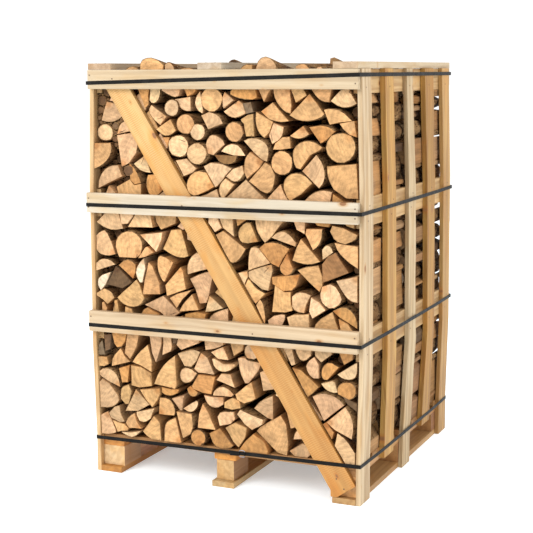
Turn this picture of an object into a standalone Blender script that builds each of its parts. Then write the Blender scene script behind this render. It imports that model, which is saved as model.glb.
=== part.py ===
"""A crate of ash firewood: four rows of split logs stacked in a nailed softwood crate on its pallet.

The logs lie front to back, so their sawn ends show at the front and at the back.
X runs to the right, Y to the back and Z up. The origin is the middle of the crate, on the floor.
"""
import math

import bmesh
import bpy

# The crate's outer size over the posts, and the gap kept where two pieces touch
CRATE_WIDTH = 1.10
CRATE_DEPTH = 1.105
GAP = 0.0003

# The pallet, from the floor up
RUNNER_THICK = 0.022
RUNNER_WIDTH = 0.092
BLOCK_HEIGHT = 0.078
BLOCK_LENGTH = 0.130
OUTER_BLOCK_WIDTH = 0.094
MIDDLE_BLOCK_WIDTH = 0.072
STRINGER_THICK = 0.022
DECK_THICK = 0.024
DECK_BOARDS = 7
DECK_BOARD_WIDTH = 0.100
PALLET_INSET = 0.0225
BLOCK_BOTTOM = RUNNER_THICK + GAP
STRINGER_BOTTOM = BLOCK_BOTTOM + BLOCK_HEIGHT + GAP
DECK_BOTTOM = STRINGER_BOTTOM + STRINGER_THICK + GAP
DECK_TOP = DECK_BOTTOM + DECK_THICK

# Heights of the horizontal boards
RAIL_THICK = 0.024
RAIL_START_INSET = {"bottom": 0.0, "middle": 0.0, "top": 0.004}
RAIL_END_INSET = 0.004
RAIL_HEIGHTS = {"bottom": (0.563, 0.644), "middle": (1.027, 1.104), "top": (1.4997, 1.5725)}
SIDE_RAIL_THICK = 0.020
SIDE_RAIL_HEIGHTS = {"bottom": (0.5256, 0.6316), "middle": (1.0072, 1.1135), "top": (1.484, 1.5722)}
CAP_BOTTOM = 1.5728
CAP_THICK = 0.024
CAP_SPANS = {"left": (-0.543, -0.443), "middle": (-0.077, 0.020), "right": (0.452, 0.546)}

# The side posts: thickness, foot height, and the front and back edges from the crate's front, each
# at the foot, at the middle and at the top
THIN_POST = 0.017
THICK_POST = 0.021
POST_TOP = 1.5725
SIDE_POSTS = (
    ("1", THIN_POST, 0.0, (0.0, 0.0, 0.0), (0.106, 0.103, 0.101)),
    ("2", THICK_POST, 0.106, (0.258, 0.258, 0.243), (0.368, 0.364, 0.340)),
    ("3", THIN_POST, 0.0, (0.491, 0.529, 0.517), (0.586, 0.631, 0.592)),
    ("4", THICK_POST, 0.106, (0.737, 0.773, 0.741), (0.846, 0.871, 0.861)),
    ("5", THIN_POST, 0.0, (1.001, 1.008, 1.000), (1.105, 1.105, 1.105)),
)
# How far the logs press the side posts outwards, in full between these heights
BOW = 0.011
BOW_LOW = 0.500
BOW_HIGH = 1.120

# The diagonal brace, as it is seen from its own side of the crate: distance from the left, height
BRACE_THICK = 0.022
BRACE_OUTLINE = (
    (0.028, 1.568), (0.985, 0.0470), (0.985, 0.0226), (1.010, 0.0226), (1.0815, 0.0720), (0.130, 1.568),
)

# The flat straps: width, thickness, and heights at the front left, front right, back right, back left
STRAP_WIDTH = 0.014
STRAP_THICK = 0.0010
STRAP_HEIGHTS = {
    "top": (1.5230, 1.5510, 1.5500, 1.5330),
    "upper": (1.0570, 1.0645, 1.0645, 1.0600),
    "lower": (0.5880, 0.5910, 0.5890, 0.5880),
    "bottom": (0.1345, 0.1470, 0.1390, 0.1390),
}
BUCKLE_WIDTH = 0.026
BUCKLE_HEIGHT = 0.028
BUCKLE_WIRE = 0.0032
BUCKLE_FROM_LEFT = 0.632

# The stack: four rows, from the crate's front, and what the logs keep clear of
LOG_LENGTH = 0.260
ROW_STARTS = (0.004, 0.274, 0.544, 0.814)
ROW_NAMES = ("front", "second", "third", "back")
LOG_GAP = 0.0024
LOG_MOST_OVERLAP = 0.012
BEHIND_BRACE = 0.0195
END_RELIEF = 0.030
CORE_OVERLAP = 0.006
EDGE_LOG_INSET = 0.002
LEAST_AREA = 1e-5
SIDE_MARGIN = 0.0012
CORE_SIDE = 0.042
CORE_TOP = 1.536
TOP_COURSE_BASE = 1.515

# Outlines of the log ends in centimetres from the crate's lower left corner: "x,z" corners, or a
# centre and a radius for a round log. The stack is three tiers high, with a top course above them.
# A tier's logs start and end level behind the rails, so the rows behind stack the tiers in turn.
BOTTOM_TIER = """
    1,51 3,53.6 4.3,46.4 0.8,46.2
    4.6,48 4.2,54.6 7,55 6.6,49
    7.4,54.8 8.2,51.2 9.3,49.9 11.3,50.4 13,52.6 13.9,56 13.9,60 7.5,60
    0.8,45.7 5.2,45.7 5.8,43 4,42 0.9,41.9
    13.4,52.2 14.4,60 20.4,60 18.3,51 15.2,45.7 12.9,47.5
    7,42.3 7.3,46 11,49.9 12.6,46.8 15,44.7
    9.9,41.7 14.7,43.3 13.7,36.4 11.2,36.1
    16.2,44.8 18.8,48.7 23.2,52.2 24.8,46 24.6,41.6 20,43.7
    15.4,43.4 19.8,43.1 24.2,41 24.5,36 19,34.9 15.6,35.5
    22.6,60 28.9,60 28.8,52 26.5,45.5 24.8,49
    29.3,60 32.7,60 33.4,52 32.8,50.3 29.2,48.5 29.6,53
    33.8,60 36.3,60 36.2,54 34.2,53.4
    25.6,37 27.6,42 30.8,46 34.8,48.9 35.5,37.4 34.6,35.6
    0.8,39 3.2,41.3 7,41.2 9.8,38 10.3,34.2 6,35.7 2.8,37.4
    1.2,35 3,36.9 5.8,35.4 9.5,31 10,29 9.3,27.4 6,25.4 1.3,25.4
    5.3,23.4 7.8,26.2 9.9,26.8 10.4,24 12.2,20.6 10,20.2 6,21.6
    10.3,32 11,34.6 14.2,35.7 15.4,33 14,27.8 12.5,27.6 10.4,29.5
    12.2,24.9 17.2,34.2 19.2,32.2 23.3,28.5 18,25.4
    19.5,34.2 28,35.4 28.3,33.5 27.2,31 24.8,27.8 22,30.6
    28.6,36 33,35.5 36.5,36 35.5,34.2 33,32.8 30.2,32.9 28.7,34
    27.6,31.8 31,32.1 33.5,30.5 34.7,27 34,25.3 27.3,25.2
    33.2,32 38.6,33.8 37.6,27.8 36.8,27.8
    17.3,25 25.3,27.2 23.5,22.8 21,20.9 18.5,21.5 17.4,23.3
    0.9,21.9 5,24.1 8,17.5 8.2,15.8 4.5,14.7 0.9,14.7
    6.8,20.8 12.2,19.7 14,18.2 13.5,17.2 10.8,16.8 9,16.2
    10.7,16.4 15,16.7 19.5,17.7 17.5,15.6 15.3,14.7 12.8,15.2
    12.8,20.4 14,23 16.8,24.7 17.5,22 18.5,20.2 19.8,18.7 14.3,18.4
    20.2,17.6 25.2,24.3 27.8,22 28.4,14.7 24.8,14.6 22,16
    29.8,14.7 29.8,21 31.5,23.4 34.7,24.7 37.1,15.2 36.5,14.7
    35,53.5 36.8,60 46,60 45,54.5 37.5,51.3
    35.8,49.8 42.5,52.2 45.4,51.2 43.8,47.5 41.5,45 38.6,45.1
    36.3,42 37.8,44.5 41,44.7 44,42.8 42,39.5 39.5,38.3 37,39
    42.7,44.4 45.8,50.9 48.5,49.2 51.3,43.2 51,42.9 44.4,43.1
    42,38.2 44.8,42.5 51.9,42.3 50.3,35.4 46.8,35.6 42.3,36.9
    39.8,36.5 41.3,37.8 44.5,35.5 43.8,33.9 41.8,33.4 40.2,34.6
    47.8,52.2 47,60 56,60 55,54.4 51.5,52.9
    50.2,51.6 55.2,54 56.3,52 57.6,48.8 53.5,48.9
    57.4,54.8 57,60 63.8,60 62.5,53 58.8,50.4
    50.6,49 51.1,49.5 55.5,47.4 60.2,47.8 60,46.8 57.3,44.5 53.8,44.3 51.2,46
    52.2,41 54.2,43.6 58,43.6 59.9,38.7 56,39.9
    50.8,35 51.2,37 54.5,39.3 58,38.2 59.6,36.4 58.8,35.3
    60.4,49.7 62.6,50.4 65,49.3 70.2,48.9 69,46 64.8,40.5 63.3,40.4 61,44.5
    66,52.7 3.1
    60.1,36.3 64.5,40 66.8,41.6 68.6,35.5 67,34.2 63.8,33.2 61,34.1
    55.4,30.7 55.5,32.8 59,35 61.8,34 62.3,31.2 58.5,30.2
    46.9,34.7 50.5,34.3 55,34.6 55,31.8 52.5,30 49.6,30.4 47.8,32
    37.9,28.5 42,31.3 44.2,32.6 44.6,30.6 43,28 40.5,27.1
    44.3,21.8 45,27.5 46.6,31.4 49,28 51.9,21.8
    35.4,27.2 41.8,26.9 42.7,22 41.2,19 37.9,17
    44.5,17.95 3.3
    49.2,20.2 53.6,22.7 56,20 59.1,16.4 57.5,15 54,14.7 50.9,15.7
    52.6,27 54,29.4 59.3,29.5 59.9,26.8 58,24.7 53.5,23.5
    60.7,28.7 62,30.6 66,29.6 71.5,27.8 71,25.7 66.8,23.4 63.7,25.3
    55.8,23 60,25.5 64.8,23.9 64,20 61.2,16 59,18
    67,31.3 69.6,34.6 74.6,36.8 74.7,27.6 72.5,28.1
    69.5,45.2 73,47 78,40 70.8,38.3
    61.8,15.3 64,18.6 67.5,22 72,19.5 73.5,16 73.2,14.7 62,14.7
    67.9,22.5 70,25.2 77.6,30 80,26.5 80.9,20 80.4,14.7 76.5,15.5 72.4,18.7
    75.7,37 76.6,39.4 80,36 79,35.3
    79.6,33 82,34 87,29 84.5,26 81.7,25
    82.9,21.2 83.4,24 85.2,25.4 89,24 87.5,21.7
    81.3,16.6 86.5,20 88,19.7 89.7,16 88.3,14.7 83.5,14.7
    79.8,55.5 79.6,60 82.4,60 84.5,49.9 83,49.3
    83,60 91.2,60 90.6,53.5 88.3,51.2 85.5,52
    83,48.5 86.6,48 88,46.8 93.6,42.4 91.2,39.7 89.3,38.3
    88.4,49 89.5,51.8 92,53.5 93.8,50.8 93.8,45.6 91,45.2
    91.5,60 99,60 98.6,54.8 94.5,51.5 92.2,53.6
    94.3,47 95,50.3 98,52.4 101.4,50.4 96.8,45.2 95.3,45
    99.4,60 106.3,60 106,53.5 103,51.3
    100.7,47.6 107.6,52.8 107.8,47.6 105.5,45.8 102.5,46.1
    94.5,43.7 98.8,45.1 99.8,44.5 101,41 99,40.5 96.2,41.5
    104.2,42.1 3.4
    91.1,38.6 93.5,40 97,40.5 101.5,38.8 103.3,36.5 95.6,29.9
    96.8,29.7 103.9,36.2 106.2,33.1 107.2,28.8 106.4,24.4 100,27.2
    95.1,28.6 96.5,29.4 99.4,26 98.6,23.3
    99.9,21.3 101,26.2 104.6,24.1 107.7,19.5 107.8,14.7 104.2,14.7
    91,14.7 89,20.7 92.5,26.8 96.5,22 97.4,14.7
    97.9,14.7 97.2,22 99.4,20.8 103.7,14.7
    87.3,29.8 83.2,34.4 88.4,37.6 94.6,30 91.6,27.2
    80.5,36.5 77.4,40.2 80,45.4 86.4,42 88.4,38.4
    70.9,49.4 69.8,54.6 72,60 78.9,60 80.6,50.4 76,46.6
    102,40.6 107.8,38.2 107.8,34.6 104.4,36.8
"""
MIDDLE_TIER = """
    2,98.7 6.5,103.6 10.7,104.6 12.9,96.6 9,95.7 5.5,96.3
    11.3,105 18,105 17.6,101.5 15,98.6 12.4,98.4
    15.2,97.4 19,103 20,105 24.8,105 26.2,97.7
    25.2,105 35.6,105 34.8,99.4 28.5,96.7 26.5,99.5
    5.6,96 7.6,91.6 9.3,86.5 6,85.4 2.5,86.3 0.8,89.5 1,93 3.2,95.2
    9.2,90.5 11,94.5 16,96.4 20.2,94.4 21.7,91 20.5,87 18,85.5 11,85.5 10.2,86.8
    20.4,94.7 30.2,96 29.6,93 27.2,88.4
    19.2,85.5 22.3,89.8 23.5,90.2 26.2,88.2 22.5,86.2
    29.2,89.4 32.8,96.8 37.2,97.2 40.2,87.2 38,86.2 33.5,86.8
    35.6,98.3 37.5,100.2 39.3,98.5 38,97
    0.6,79.3 1,82.2 4,84.9 7.5,84.4 9.4,82.6
    10.4,82.3 13.5,84.9 16.5,84.4 18,83 18,80 16.8,77.4
    21.8,85.6 20,84 18.2,80.8 18.8,78 20.2,76.2 21.2,76.2 22.6,81.8
    5.8,74.6 9.5,81.8 12,80.4 16.6,76 12.3,73.4
    3.4,72 1.8,74.5 3,78 7.6,79.6 5.5,74.6
    0.8,70.5 4.8,73 7.9,72 8.8,69.6 5.9,66.8 4.2,68.4
    9.8,69.6 15.5,74.5 18.5,77.2 20.5,74.6 22.1,70.5 20.5,67.2 16,66 12,67.3
    24.2,84.3 25.8,83 28.7,76.5 28.8,72.2 21.2,71.6 22.2,77
    28.3,87.4 31,86.6 34.5,84.7 30.6,77 29.6,77.4 27.7,81 27.4,84.5
    30.9,75.8 37.7,83.2 38.6,81.8 39.8,74.8 31.5,71.6
    0.8,66.3 4.2,67.5 5.5,65.2 5,60.5 0.8,60.5
    7.4,60.5 8.8,68.6 9.9,68.6 11.6,60.5
    13.2,66.3 16,65.6 17.6,60.5 12.6,60.5
    20.2,63.5 21.5,66 23.5,66.9 28,64.8 29,60.5 20.6,60.5
    21.7,67.6 30,71.7 37.2,65.7 32.4,62.4 28.5,65.2
    30.2,61.8 33.6,62.4 38.4,64.6 38.2,60.5 30.4,60.5
    32.6,70.9 36,72.8 42,74.6 38.8,71.3 36.9,69 35.6,67.2
    36.6,65.9 38.3,69.3 42.3,73 45.1,67.2
    39,63 39.5,65.3 44,66.4 48.3,66 47.3,62.5 47,60.5 39,60.5
    40.8,78.7 46,81.4 49.7,82 50.3,80.5 48.6,72.5 47.6,69.9 44.8,69.4 43,75
    39.8,80.2 39.3,83 40.8,86.8 43.4,88.7 46.5,88 49.5,83 45,81.9
    46.9,66.3 48.8,72.6 50.5,71.5 54.6,68.3 50,66.8
    51.2,74.2 53.4,76.2 58.5,72 56.8,70
    47.9,62.5 49.5,65.6 53,67.4 56.6,68.4 56.7,60.5 47.9,60.5
    39.2,100.5 39.9,93.6 43,92.6 48,96 46.5,102
    45.2,90.6 50,94.7 54.6,89.2 50.7,84.2 47.4,88.4
    51,83.2 55,88.2 59.2,83.4 54.4,77.6
    50,105 52.4,105 55.2,98.9 52.4,97.2 49.6,100.6
    53,105 59.4,105 60,95.7 55.6,98.7
    52.7,96.2 55.7,97.8 59.5,95.2 64.9,91.4 63,88 60.2,85.7 58,86.3
    64.8,101.6 66.7,101.4 69.9,94.4 64.2,93.2 62,95 61.8,98.5
    60.4,105 61.5,99.8 65,102.2 66,105
    68.3,105 68.5,99.8 70,96.5 72.4,94 75.3,96.6 79.4,102 79,105
    75.2,96.2 77.3,98.2 80,99.1 83,97.6 84.9,95 84.8,93.4 79.5,94.9
    70.2,92 72.5,94 75.5,94.8 79,94.2 82.4,92.4 79.5,88.5 78,85.4 74.6,86.8
    81.3,91 82.7,87.5 83.9,85 83.2,83.2 80.8,82.4 78.6,83.8 78.6,86.2
    66.5,92 68.3,92.7 70.3,92 74.8,86.8 70.5,85.3 65.9,83.6 65.7,87
    65.8,83.1 70.5,84.9 75,86.2 75.5,84 73.6,76.4 70.5,76.8 67,79.4 65.8,81.2
    61.8,82.4 65.4,83.2 65.7,81.2 64.3,78.3
    65.9,80.7 69,77.3 72.8,75.3 68.8,71.2 64.6,77.8
    70.5,73.2 72,71.5 72.9,67 72.6,63.9 69,70.8
    73.4,65.4 76,67.4 80.3,68.6 80.7,66.8 79.4,63.8 77.5,60.5 74.5,60.5
    82.8,105 88.4,105 88.1,98 85,99.5
    88.4,98 88.8,100 95,100.2 94.8,96 93.3,93.6 91.4,92.3
    89,105 99,105 97.5,101 93,101.3
    98.1,99.5 99,101.7 103,101 107.8,98.7 107,96.6 103.5,95.1 99.8,96.1
    100.5,105 107.8,105 107.8,100.5 104,101.7
    99.7,95.6 107.8,94.7 107.8,86.6 104,89 101,92.2
    86.8,96.3 94.2,88.3 90.5,86.9 86.5,87.1 83.3,88.2 85,93
    95,92.8 96.7,95 98.8,94 99.3,92 97,90.3 95.2,89.2
    95,87.5 97.2,90.4 100.2,92.1 104.8,85 95.2,80.8
    85.2,84.8 89,86.4 93.4,87 94.9,83 94.9,79.6 93.8,77.2 89.5,80.8
    94.8,79.4 99.2,81.1 102.7,76 102,73.3 98.5,71.1 95,72.7 93.7,75.8
    100.4,81.8 107.6,83.8 107.6,74.3 105,74.6 102.5,77.6
    75.3,81.8 79,82.4 86.3,83.4 85,79 83.2,77.2 79.8,76.8 75.5,79.3
    76.3,78.6 80,76.4 82.6,76.6 82.7,72 83.6,69.8 80.5,68.8 75,68.6
    83.2,75 85.5,77 88.5,77 90.7,76 88.9,72.4 88,69.2 84.5,69.5 83,71.8
    90.8,75.2 94,73.6 96.4,70.9 91.3,67.5 90,70
    81.3,67.2 84,68.4 87,68.6 90,69 90,60.5 83,60.5
    91.3,63 92.6,66.5 98.8,70.4 101.9,62 101.8,60.5 91.2,60.5
    98.9,70.7 102.8,73 106.3,71 107.6,67.5 107.6,64.8 104.4,66.8 101.5,68.5
    101.2,68 104.4,66.4 106.5,63.5 106,60.5 102.3,60.5
    59.2,68.2 57.3,60.5 66.4,60.5 68.6,66.5 63.5,70.6
    58.8,72.6 55,77.2 60.6,82 63.8,78 67.8,71.4 62.8,71.2
"""
TOP_TIER = """
    7.2,145.5 9,149.5 15,150.5 16.2,146.4 10.6,144.9
    3.5,137.9 5.8,145.2 10.4,144.2 13,141.8 12.6,139.4 9.3,137.5 6.2,137.1
    5.2,133.4 3.4
    1.4,119.2 1.4,129.3 8.4,129.5 9,127 7.6,123.2 4.6,120.6
    10,132.4 17.2,133.4 19.3,129.8 18.4,125.8 15,121.7 11.8,120.3
    10.1,132.8 17.4,134.3 18,137 14.3,138.3 11.3,136.8
    17.2,121.6 22.2,125 24.5,118.3 21.5,118.4 19,119.6
    2.8,111.8 13,116.8 11.2,121 8,121 5,119 3,115.5
    5.6,109.2 7.4,113.1 10.2,110.2 9.5,105.5 6,105
    9.3,112.4 15.3,115.6 17.2,113.4 20.2,114 20.2,107.5 11,106
    15.1,121.7 17.8,119.6 19.8,115.8 20.1,114.2 17.3,113.6 15.4,115.4
    23.2,117.5 27,117.7 30.4,112.5 27.5,110 24,109.3 22.4,112.5 22.4,115.5
    28,110 30.8,112 33.5,109 32,105.5 28.4,105.5
    20,151 25.6,151 24.9,147.5 25.3,144.3 23.7,142.8
    25.7,151.2 29.9,151 30.2,148 29,145.2 26.5,144.3 25.2,146
    26.2,144.1 32.6,139.8 30,136.6 26.7,138.8 24.8,142
    30.6,149.6 32,151.2 39,151.2 38,147.4 36.3,146.8 33.2,148
    28.3,135 34.3,138.8 36.6,134.5 34.5,132.6 31.3,132.4
    35,143 3.2
    35.4,146.2 42.5,147.2 42.6,141.9 40.5,141.7 38.2,142.8 37,145
    37.5,128.8 4.3
    31.2,132 34,132.1 33,128.2
    36,123.4 40.6,124.2 44.7,120.6 43.5,119.2 39.3,117.6
    40.6,137.1 3.8
    45.8,134.2 3.2
    45.2,126.2 4.2
    41.5,117.5 45,120.2 49,119.2 52.3,114.2 47,111 43,110.2 40.4,113
    39.8,151 46.3,151 44,148.3 41.5,147.2
    44.2,144.5 45,147.5 46.7,149.4 47.3,146 48,143 47.6,141 45.6,142
    51.4,146.3 4.6
    47.1,140.3 50.5,141.7 54.5,140.6 56,137.5 49.8,135.2
    52,133.7 55.8,131.8 56.6,129.8 51.8,125.7 49.4,126.3 48.6,129.5 49.6,132.5
    55,127.2 57,129.5 60,130.4 63,129.3 65,125.8 60,125.8
    52.3,125.8 61.5,125.6 61.2,123.8 58.5,122.2 54.5,122.8
    47.5,121.4 50.5,122.9 55.6,122.5 59.3,120.9 56.6,118.2 55.2,115.9 52.3,113.6
    56.9,118.2 59.7,120.8 63.8,122.2 64.6,119.4 63,116.7 60.2,115.8
    54.1,113 55,115.8 57,117.3 60.6,115.2 55.7,109.3 54.6,110.8
    56.6,109.8 64.9,117.1 72.7,110 72.2,105.5 57,105.5
    58.5,148.5 60.8,151 69,151 69.9,147 68,146.2 64.4,146.2 60.6,147.3
    56.8,149 60.4,146 56.5,143 55.9,144 55.8,146.6
    56.2,141.8 62.3,145.9 64,144.6 65.2,141.2 62.7,139.8 60,139.3 57.4,140.5
    64,144.9 67.4,145.4 68.4,141.7 65.5,141.1
    60.7,134.4 3.8
    62.9,138.9 66,140.7 68.2,141.1 68.5,132.9 65.2,132.8 64.6,135.5 64.4,137.4
    69.2,141.9 76,138.3 74.5,134.5 72.3,132.4 70,134.2 68.7,138
    64.2,131.3 66.5,132.4 70.2,132.4 73.4,130.7 74.6,127.5 73.5,123.8 71.5,124.4 68.5,126.8
    67,127.3 72,124 70.7,121.5 65.6,117.3 64.5,119.8 64.5,123 65.2,125.5
    66,116.5 72.5,123.6 75,122.3 76.7,119 76.3,114.5 74,111.8 71,113
    69.6,151 75.6,151 72.4,145.4
    71.3,142 75.9,145.3 82.2,138.6 78.5,138 74.5,139.2
    76,151 82.3,151 83.2,144 82.8,141.2 80.5,141.8 77.5,144.7 76.1,148
    82.6,151 87.2,151 89.2,147.8 84.9,145.2
    90.3,148.4 96,141.2 95,140 91,138.5 86,138.7 82.5,140.7
    90.2,151 98.8,151 97.7,145.4 95.5,145.4 92.8,147
    98,145.8 101.8,149.8 104.7,150.3 107.6,144.9 105,143.4 101.5,143.5
    95.6,142.8 98,143.4 102.5,142.6 106,138.9 101.3,138.3 97.8,137.5
    101.3,138 106.7,139 107.6,133 105.3,133.7 102.8,135.6
    102,129.4 5.5
    90,136.6 96,137.7 100.2,135.3 97.5,132.6 94.5,130.8
    82.5,133.3 87.6,136.9 89.9,134 88,132.5 85,132.1
    76.3,137.9 80.3,136.4 80.1,133.8 78.5,131.8 75.6,130.3 74.4,133.3
    76,128.3 77,130.8 79.5,132.8 82.5,133 83,128.9 79,128.3
    79.4,123.6 4.45
    83.5,126 84,129 87,131.6 91.5,131.9 95.7,129.3 90.5,126.6 86.6,121.4 84.5,121.8
    92.5,127.2 95.4,124 96.5,120 95.8,116.6 94,114.8 91.3,117.2 87,121.2
    79.8,115.5 80.7,118.3 84,120.4 88.5,119.6 91.3,116.6 87,112.5 82.5,109.8 80.6,112
    73.6,110.5 78.8,115.8 80,112.8 82.2,109.6 81,105.5 74,105.5
    88,110 91,113 95,114.5 98.7,113.7 97.8,108.5 96.5,105.5 89,105.5
    96.8,122.7 107.3,123.8 107.8,110.4 104,110.6 99.5,114.2 97,118.5
    15.2,138.4 17,145.8 20.2,148.5 23.2,142.8 19.8,138
    19.2,137.4 24.4,142 28,135.6 25,130.5 20.4,130.6
    21,129.9 25.6,129.8 29,133.6 32.3,128.4 29,124.4 22.8,126
    25.4,119.2 23.9,123.6 29.2,123.8 35,122.8 38.4,117.2 34.5,114.5
    31,113 34.3,113.9 39.6,113.2 41,109.4 38,105.5 33.8,105.5
    42.3,109.6 47,110.4 53.2,113.2 54.5,109 53.2,105.5 42,105.5
    99,113 102.8,110.4 107.8,109.8 107.8,105.5 98.4,105.5
    21,108.8 25.6,108.6 27.6,105.5 21,105.5
    0.8,117.6 2.2,115.4 2.2,108 5,105.5 0.8,105.5
"""
TOP_COURSE = """
    14.6,157 17.5,158.8 21,158 22,154 20,151.5 15,151.5
    21.6,156 21.7,160.6 25.5,162 29.5,161 31.8,158.9 30,151.5 22.5,151.5
    32,151.5 32,159 33.5,160.4 35.6,159 36.4,157 36,151.5
    37,151.5 37.5,157.2 41,158.2 45,157.3 45.5,151.5
    46,151.5 46.5,156.5 50,157.2 54.5,156.8 55.5,151.5
    62.3,151.5 62.6,157 65,159.2 67.8,158.8 68,151.5
    68.8,154 69.3,159.4 72,162 75.8,160.9 77.9,157.5 77,151.5 69.5,151.5
    78.2,151.5 78.6,156 81.5,157.4 84.6,156.2 84.8,151.5
    85,158.2 86.8,159.1 89,159.1 90.3,157.3 89.8,151.5 85.2,151.5
    91.8,151.5 91.6,156.4 93.8,158.7 96,156.8 96.4,151.5
    97,151.5 97.2,156.3 100.5,156.9 103.4,156.2 103.6,151.5
    56,151.5 56.3,156.4 59,157.3 61.8,156.3 62,151.5
    2.2,151.5 2.4,156 6,157 10.2,156.4 13.8,151.5
    104,151.5 104.2,156.4 107.6,156.6 107.8,151.5
"""
# The tiers with the height that each one starts from, in metres, and the order they take in each row
TIERS = {"bottom": (BOTTOM_TIER, 0.147), "middle": (MIDDLE_TIER, 0.605), "top": (TOP_TIER, 1.055)}
TIER_SLOTS = (0.147, 0.605, 1.055)
ROW_TIERS = {
    "front": ("bottom", "middle", "top"),
    "second": ("middle", "top", "bottom"),
    "third": ("bottom", "middle", "top"),
    "back": ("top", "bottom", "middle"),
}
MIRRORED_ROWS = ("third",)
TOP_COURSE_SHARE = {"front": 1.0, "second": 0.55, "third": 0.60, "back": 0.75}
# Two logs that stand above the rest further back, seen over the front rail
RAISED_LOGS = {
    "second": ((0.868, 1.515), (0.876, 1.617), (0.892, 1.621), (0.924, 1.604), (0.930, 1.515)),
    "third": ((0.317, 1.515), (0.322, 1.600), (0.345, 1.619), (0.368, 1.612), (0.384, 1.590), (0.390, 1.515)),
}

# Corners kept on a log end's solid, by the end's area
CORNERS = ((0.0100, 5), (0.0048, 4), (0.0, 3))

# Colours, roughness and metallic value of each material
FINISHES = {
    "rail_pine": ((0.80, 0.62, 0.40), 0.62, 0.0),
    "brace_pine": ((0.78, 0.49, 0.20), 0.60, 0.0),
    "post_pine": ((0.72, 0.53, 0.33), 0.65, 0.0),
    "pallet_pine": ((0.62, 0.38, 0.17), 0.68, 0.0),
    "ash_logs": ((0.62, 0.42, 0.26), 0.75, 0.0),
    "black_strap": ((0.016, 0.017, 0.019), 0.28, 0.0),
    "buckle_wire": ((0.60, 0.60, 0.62), 0.32, 1.0),
}


def clear_scene():
    """Remove whatever the scene holds."""
    for old in list(bpy.data.objects):
        bpy.data.objects.remove(old, do_unlink=True)


def make_materials():
    """Make one Principled material for each finish."""
    made = {}
    for name, (colour, roughness, metallic) in FINISHES.items():
        material = bpy.data.materials.new(name)
        material.use_nodes = True
        shader = material.node_tree.nodes["Principled BSDF"]
        shader.inputs["Base Color"].default_value = (*colour, 1.0)
        shader.inputs["Roughness"].default_value = roughness
        shader.inputs["Metallic"].default_value = metallic
        made[name] = material
    return made


def add_object(name, bm, material):
    """Turn a bmesh into a named object with its material."""
    bmesh.ops.recalc_face_normals(bm, faces=bm.faces)
    mesh = bpy.data.meshes.new(name)
    bm.to_mesh(mesh)
    bm.free()
    mesh.materials.append(material)
    piece = bpy.data.objects.new(name, mesh)
    bpy.context.scene.collection.objects.link(piece)
    return piece


def add_board(name, x_span, y_span, z_span, material):
    """A straight board between two corners."""
    bm = bmesh.new()
    bmesh.ops.create_cube(bm, size=1.0)
    spans = (x_span, y_span, z_span)
    for vert in bm.verts:
        vert.co = [(low + high) / 2 + side * (high - low) for side, (low, high) in zip(vert.co, spans)]
    return add_object(name, bm, material)


def extrude_outline(bm, outline, start, end):
    """Extrude a closed outline of (x, z) corners along Y, from start to end."""
    corners = [bm.verts.new((x, start, z)) for x, z in outline]
    face = bm.faces.new(corners)
    pushed = bmesh.ops.extrude_face_region(bm, geom=[face], use_keep_orig=True)
    moved = [item for item in pushed["geom"] if isinstance(item, bmesh.types.BMVert)]
    bmesh.ops.translate(bm, vec=(0, end - start, 0), verts=moved)


def from_left(distance):
    """X of a point measured from the crate's left side."""
    return distance - CRATE_WIDTH / 2


def from_front(distance):
    """Y of a point measured from the crate's front."""
    return distance - CRATE_DEPTH / 2


def bow_at(height):
    """How far the side posts stand outwards at a height; level with the pallet they stand upright."""
    foot = min(1.0, max(0.0, (height - DECK_TOP) / (BOW_LOW - DECK_TOP)))
    top = min(1.0, max(0.0, (POST_TOP - height) / (POST_TOP - BOW_HIGH)))
    return BOW * foot * top


# Pallet


def add_pallet(material):
    """Runners, blocks and stringers front to back, with the deck boards across them."""
    half_width = CRATE_WIDTH / 2 - THIN_POST - GAP
    front = from_front(PALLET_INSET)
    back = -front
    lines = {"left": (-1, OUTER_BLOCK_WIDTH), "middle": (0, MIDDLE_BLOCK_WIDTH), "right": (1, OUTER_BLOCK_WIDTH)}
    for side, (sign, block_width) in lines.items():
        centre = sign * (half_width - RUNNER_WIDTH / 2)
        runner = (centre - RUNNER_WIDTH / 2, centre + RUNNER_WIDTH / 2)
        centre = sign * (half_width - block_width / 2)
        block = (centre - block_width / 2, centre + block_width / 2)
        add_board(f"pallet_runner_{side}", runner, (from_front(0), -from_front(0)), (0, RUNNER_THICK), material)
        stringer = (STRINGER_BOTTOM, STRINGER_BOTTOM + STRINGER_THICK)
        add_board(f"pallet_stringer_{side}", runner, (front, back), stringer, material)
        starts = {"front": front, "middle": -BLOCK_LENGTH / 2, "back": back - BLOCK_LENGTH}
        for place, start in starts.items():
            heights = (BLOCK_BOTTOM, BLOCK_BOTTOM + BLOCK_HEIGHT)
            add_board(f"pallet_block_{side}_{place}", block, (start, start + BLOCK_LENGTH), heights, material)
    pitch = (back - front - DECK_BOARD_WIDTH) / (DECK_BOARDS - 1)
    for number in range(DECK_BOARDS):
        start = front + number * pitch
        span = (start, start + DECK_BOARD_WIDTH)
        name = f"pallet_deck_board_{number + 1}"
        add_board(name, (-half_width, half_width), span, (DECK_BOTTOM, DECK_TOP), material)


# Crate


def edge_at(edge, foot, height):
    """A post's front or back edge at a height, from its places at the foot, the middle and the top."""
    low, middle, high = edge
    if height < BOW_LOW:
        return low + (middle - low) * (height - foot) / (BOW_LOW - foot)
    return middle + (high - middle) * (height - BOW_LOW) / (POST_TOP - BOW_LOW)


def rail_bow(heights):
    """How far a side rail is pressed outwards with the posts that it is nailed to."""
    return min(bow_at(height) for height in heights)


def join_sections(bm, section, following):
    """Walls between two sections of a piece with four sides."""
    for side in range(4):
        after = (side + 1) % 4
        bm.faces.new((section[side], section[after], following[after], following[side]))


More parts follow.
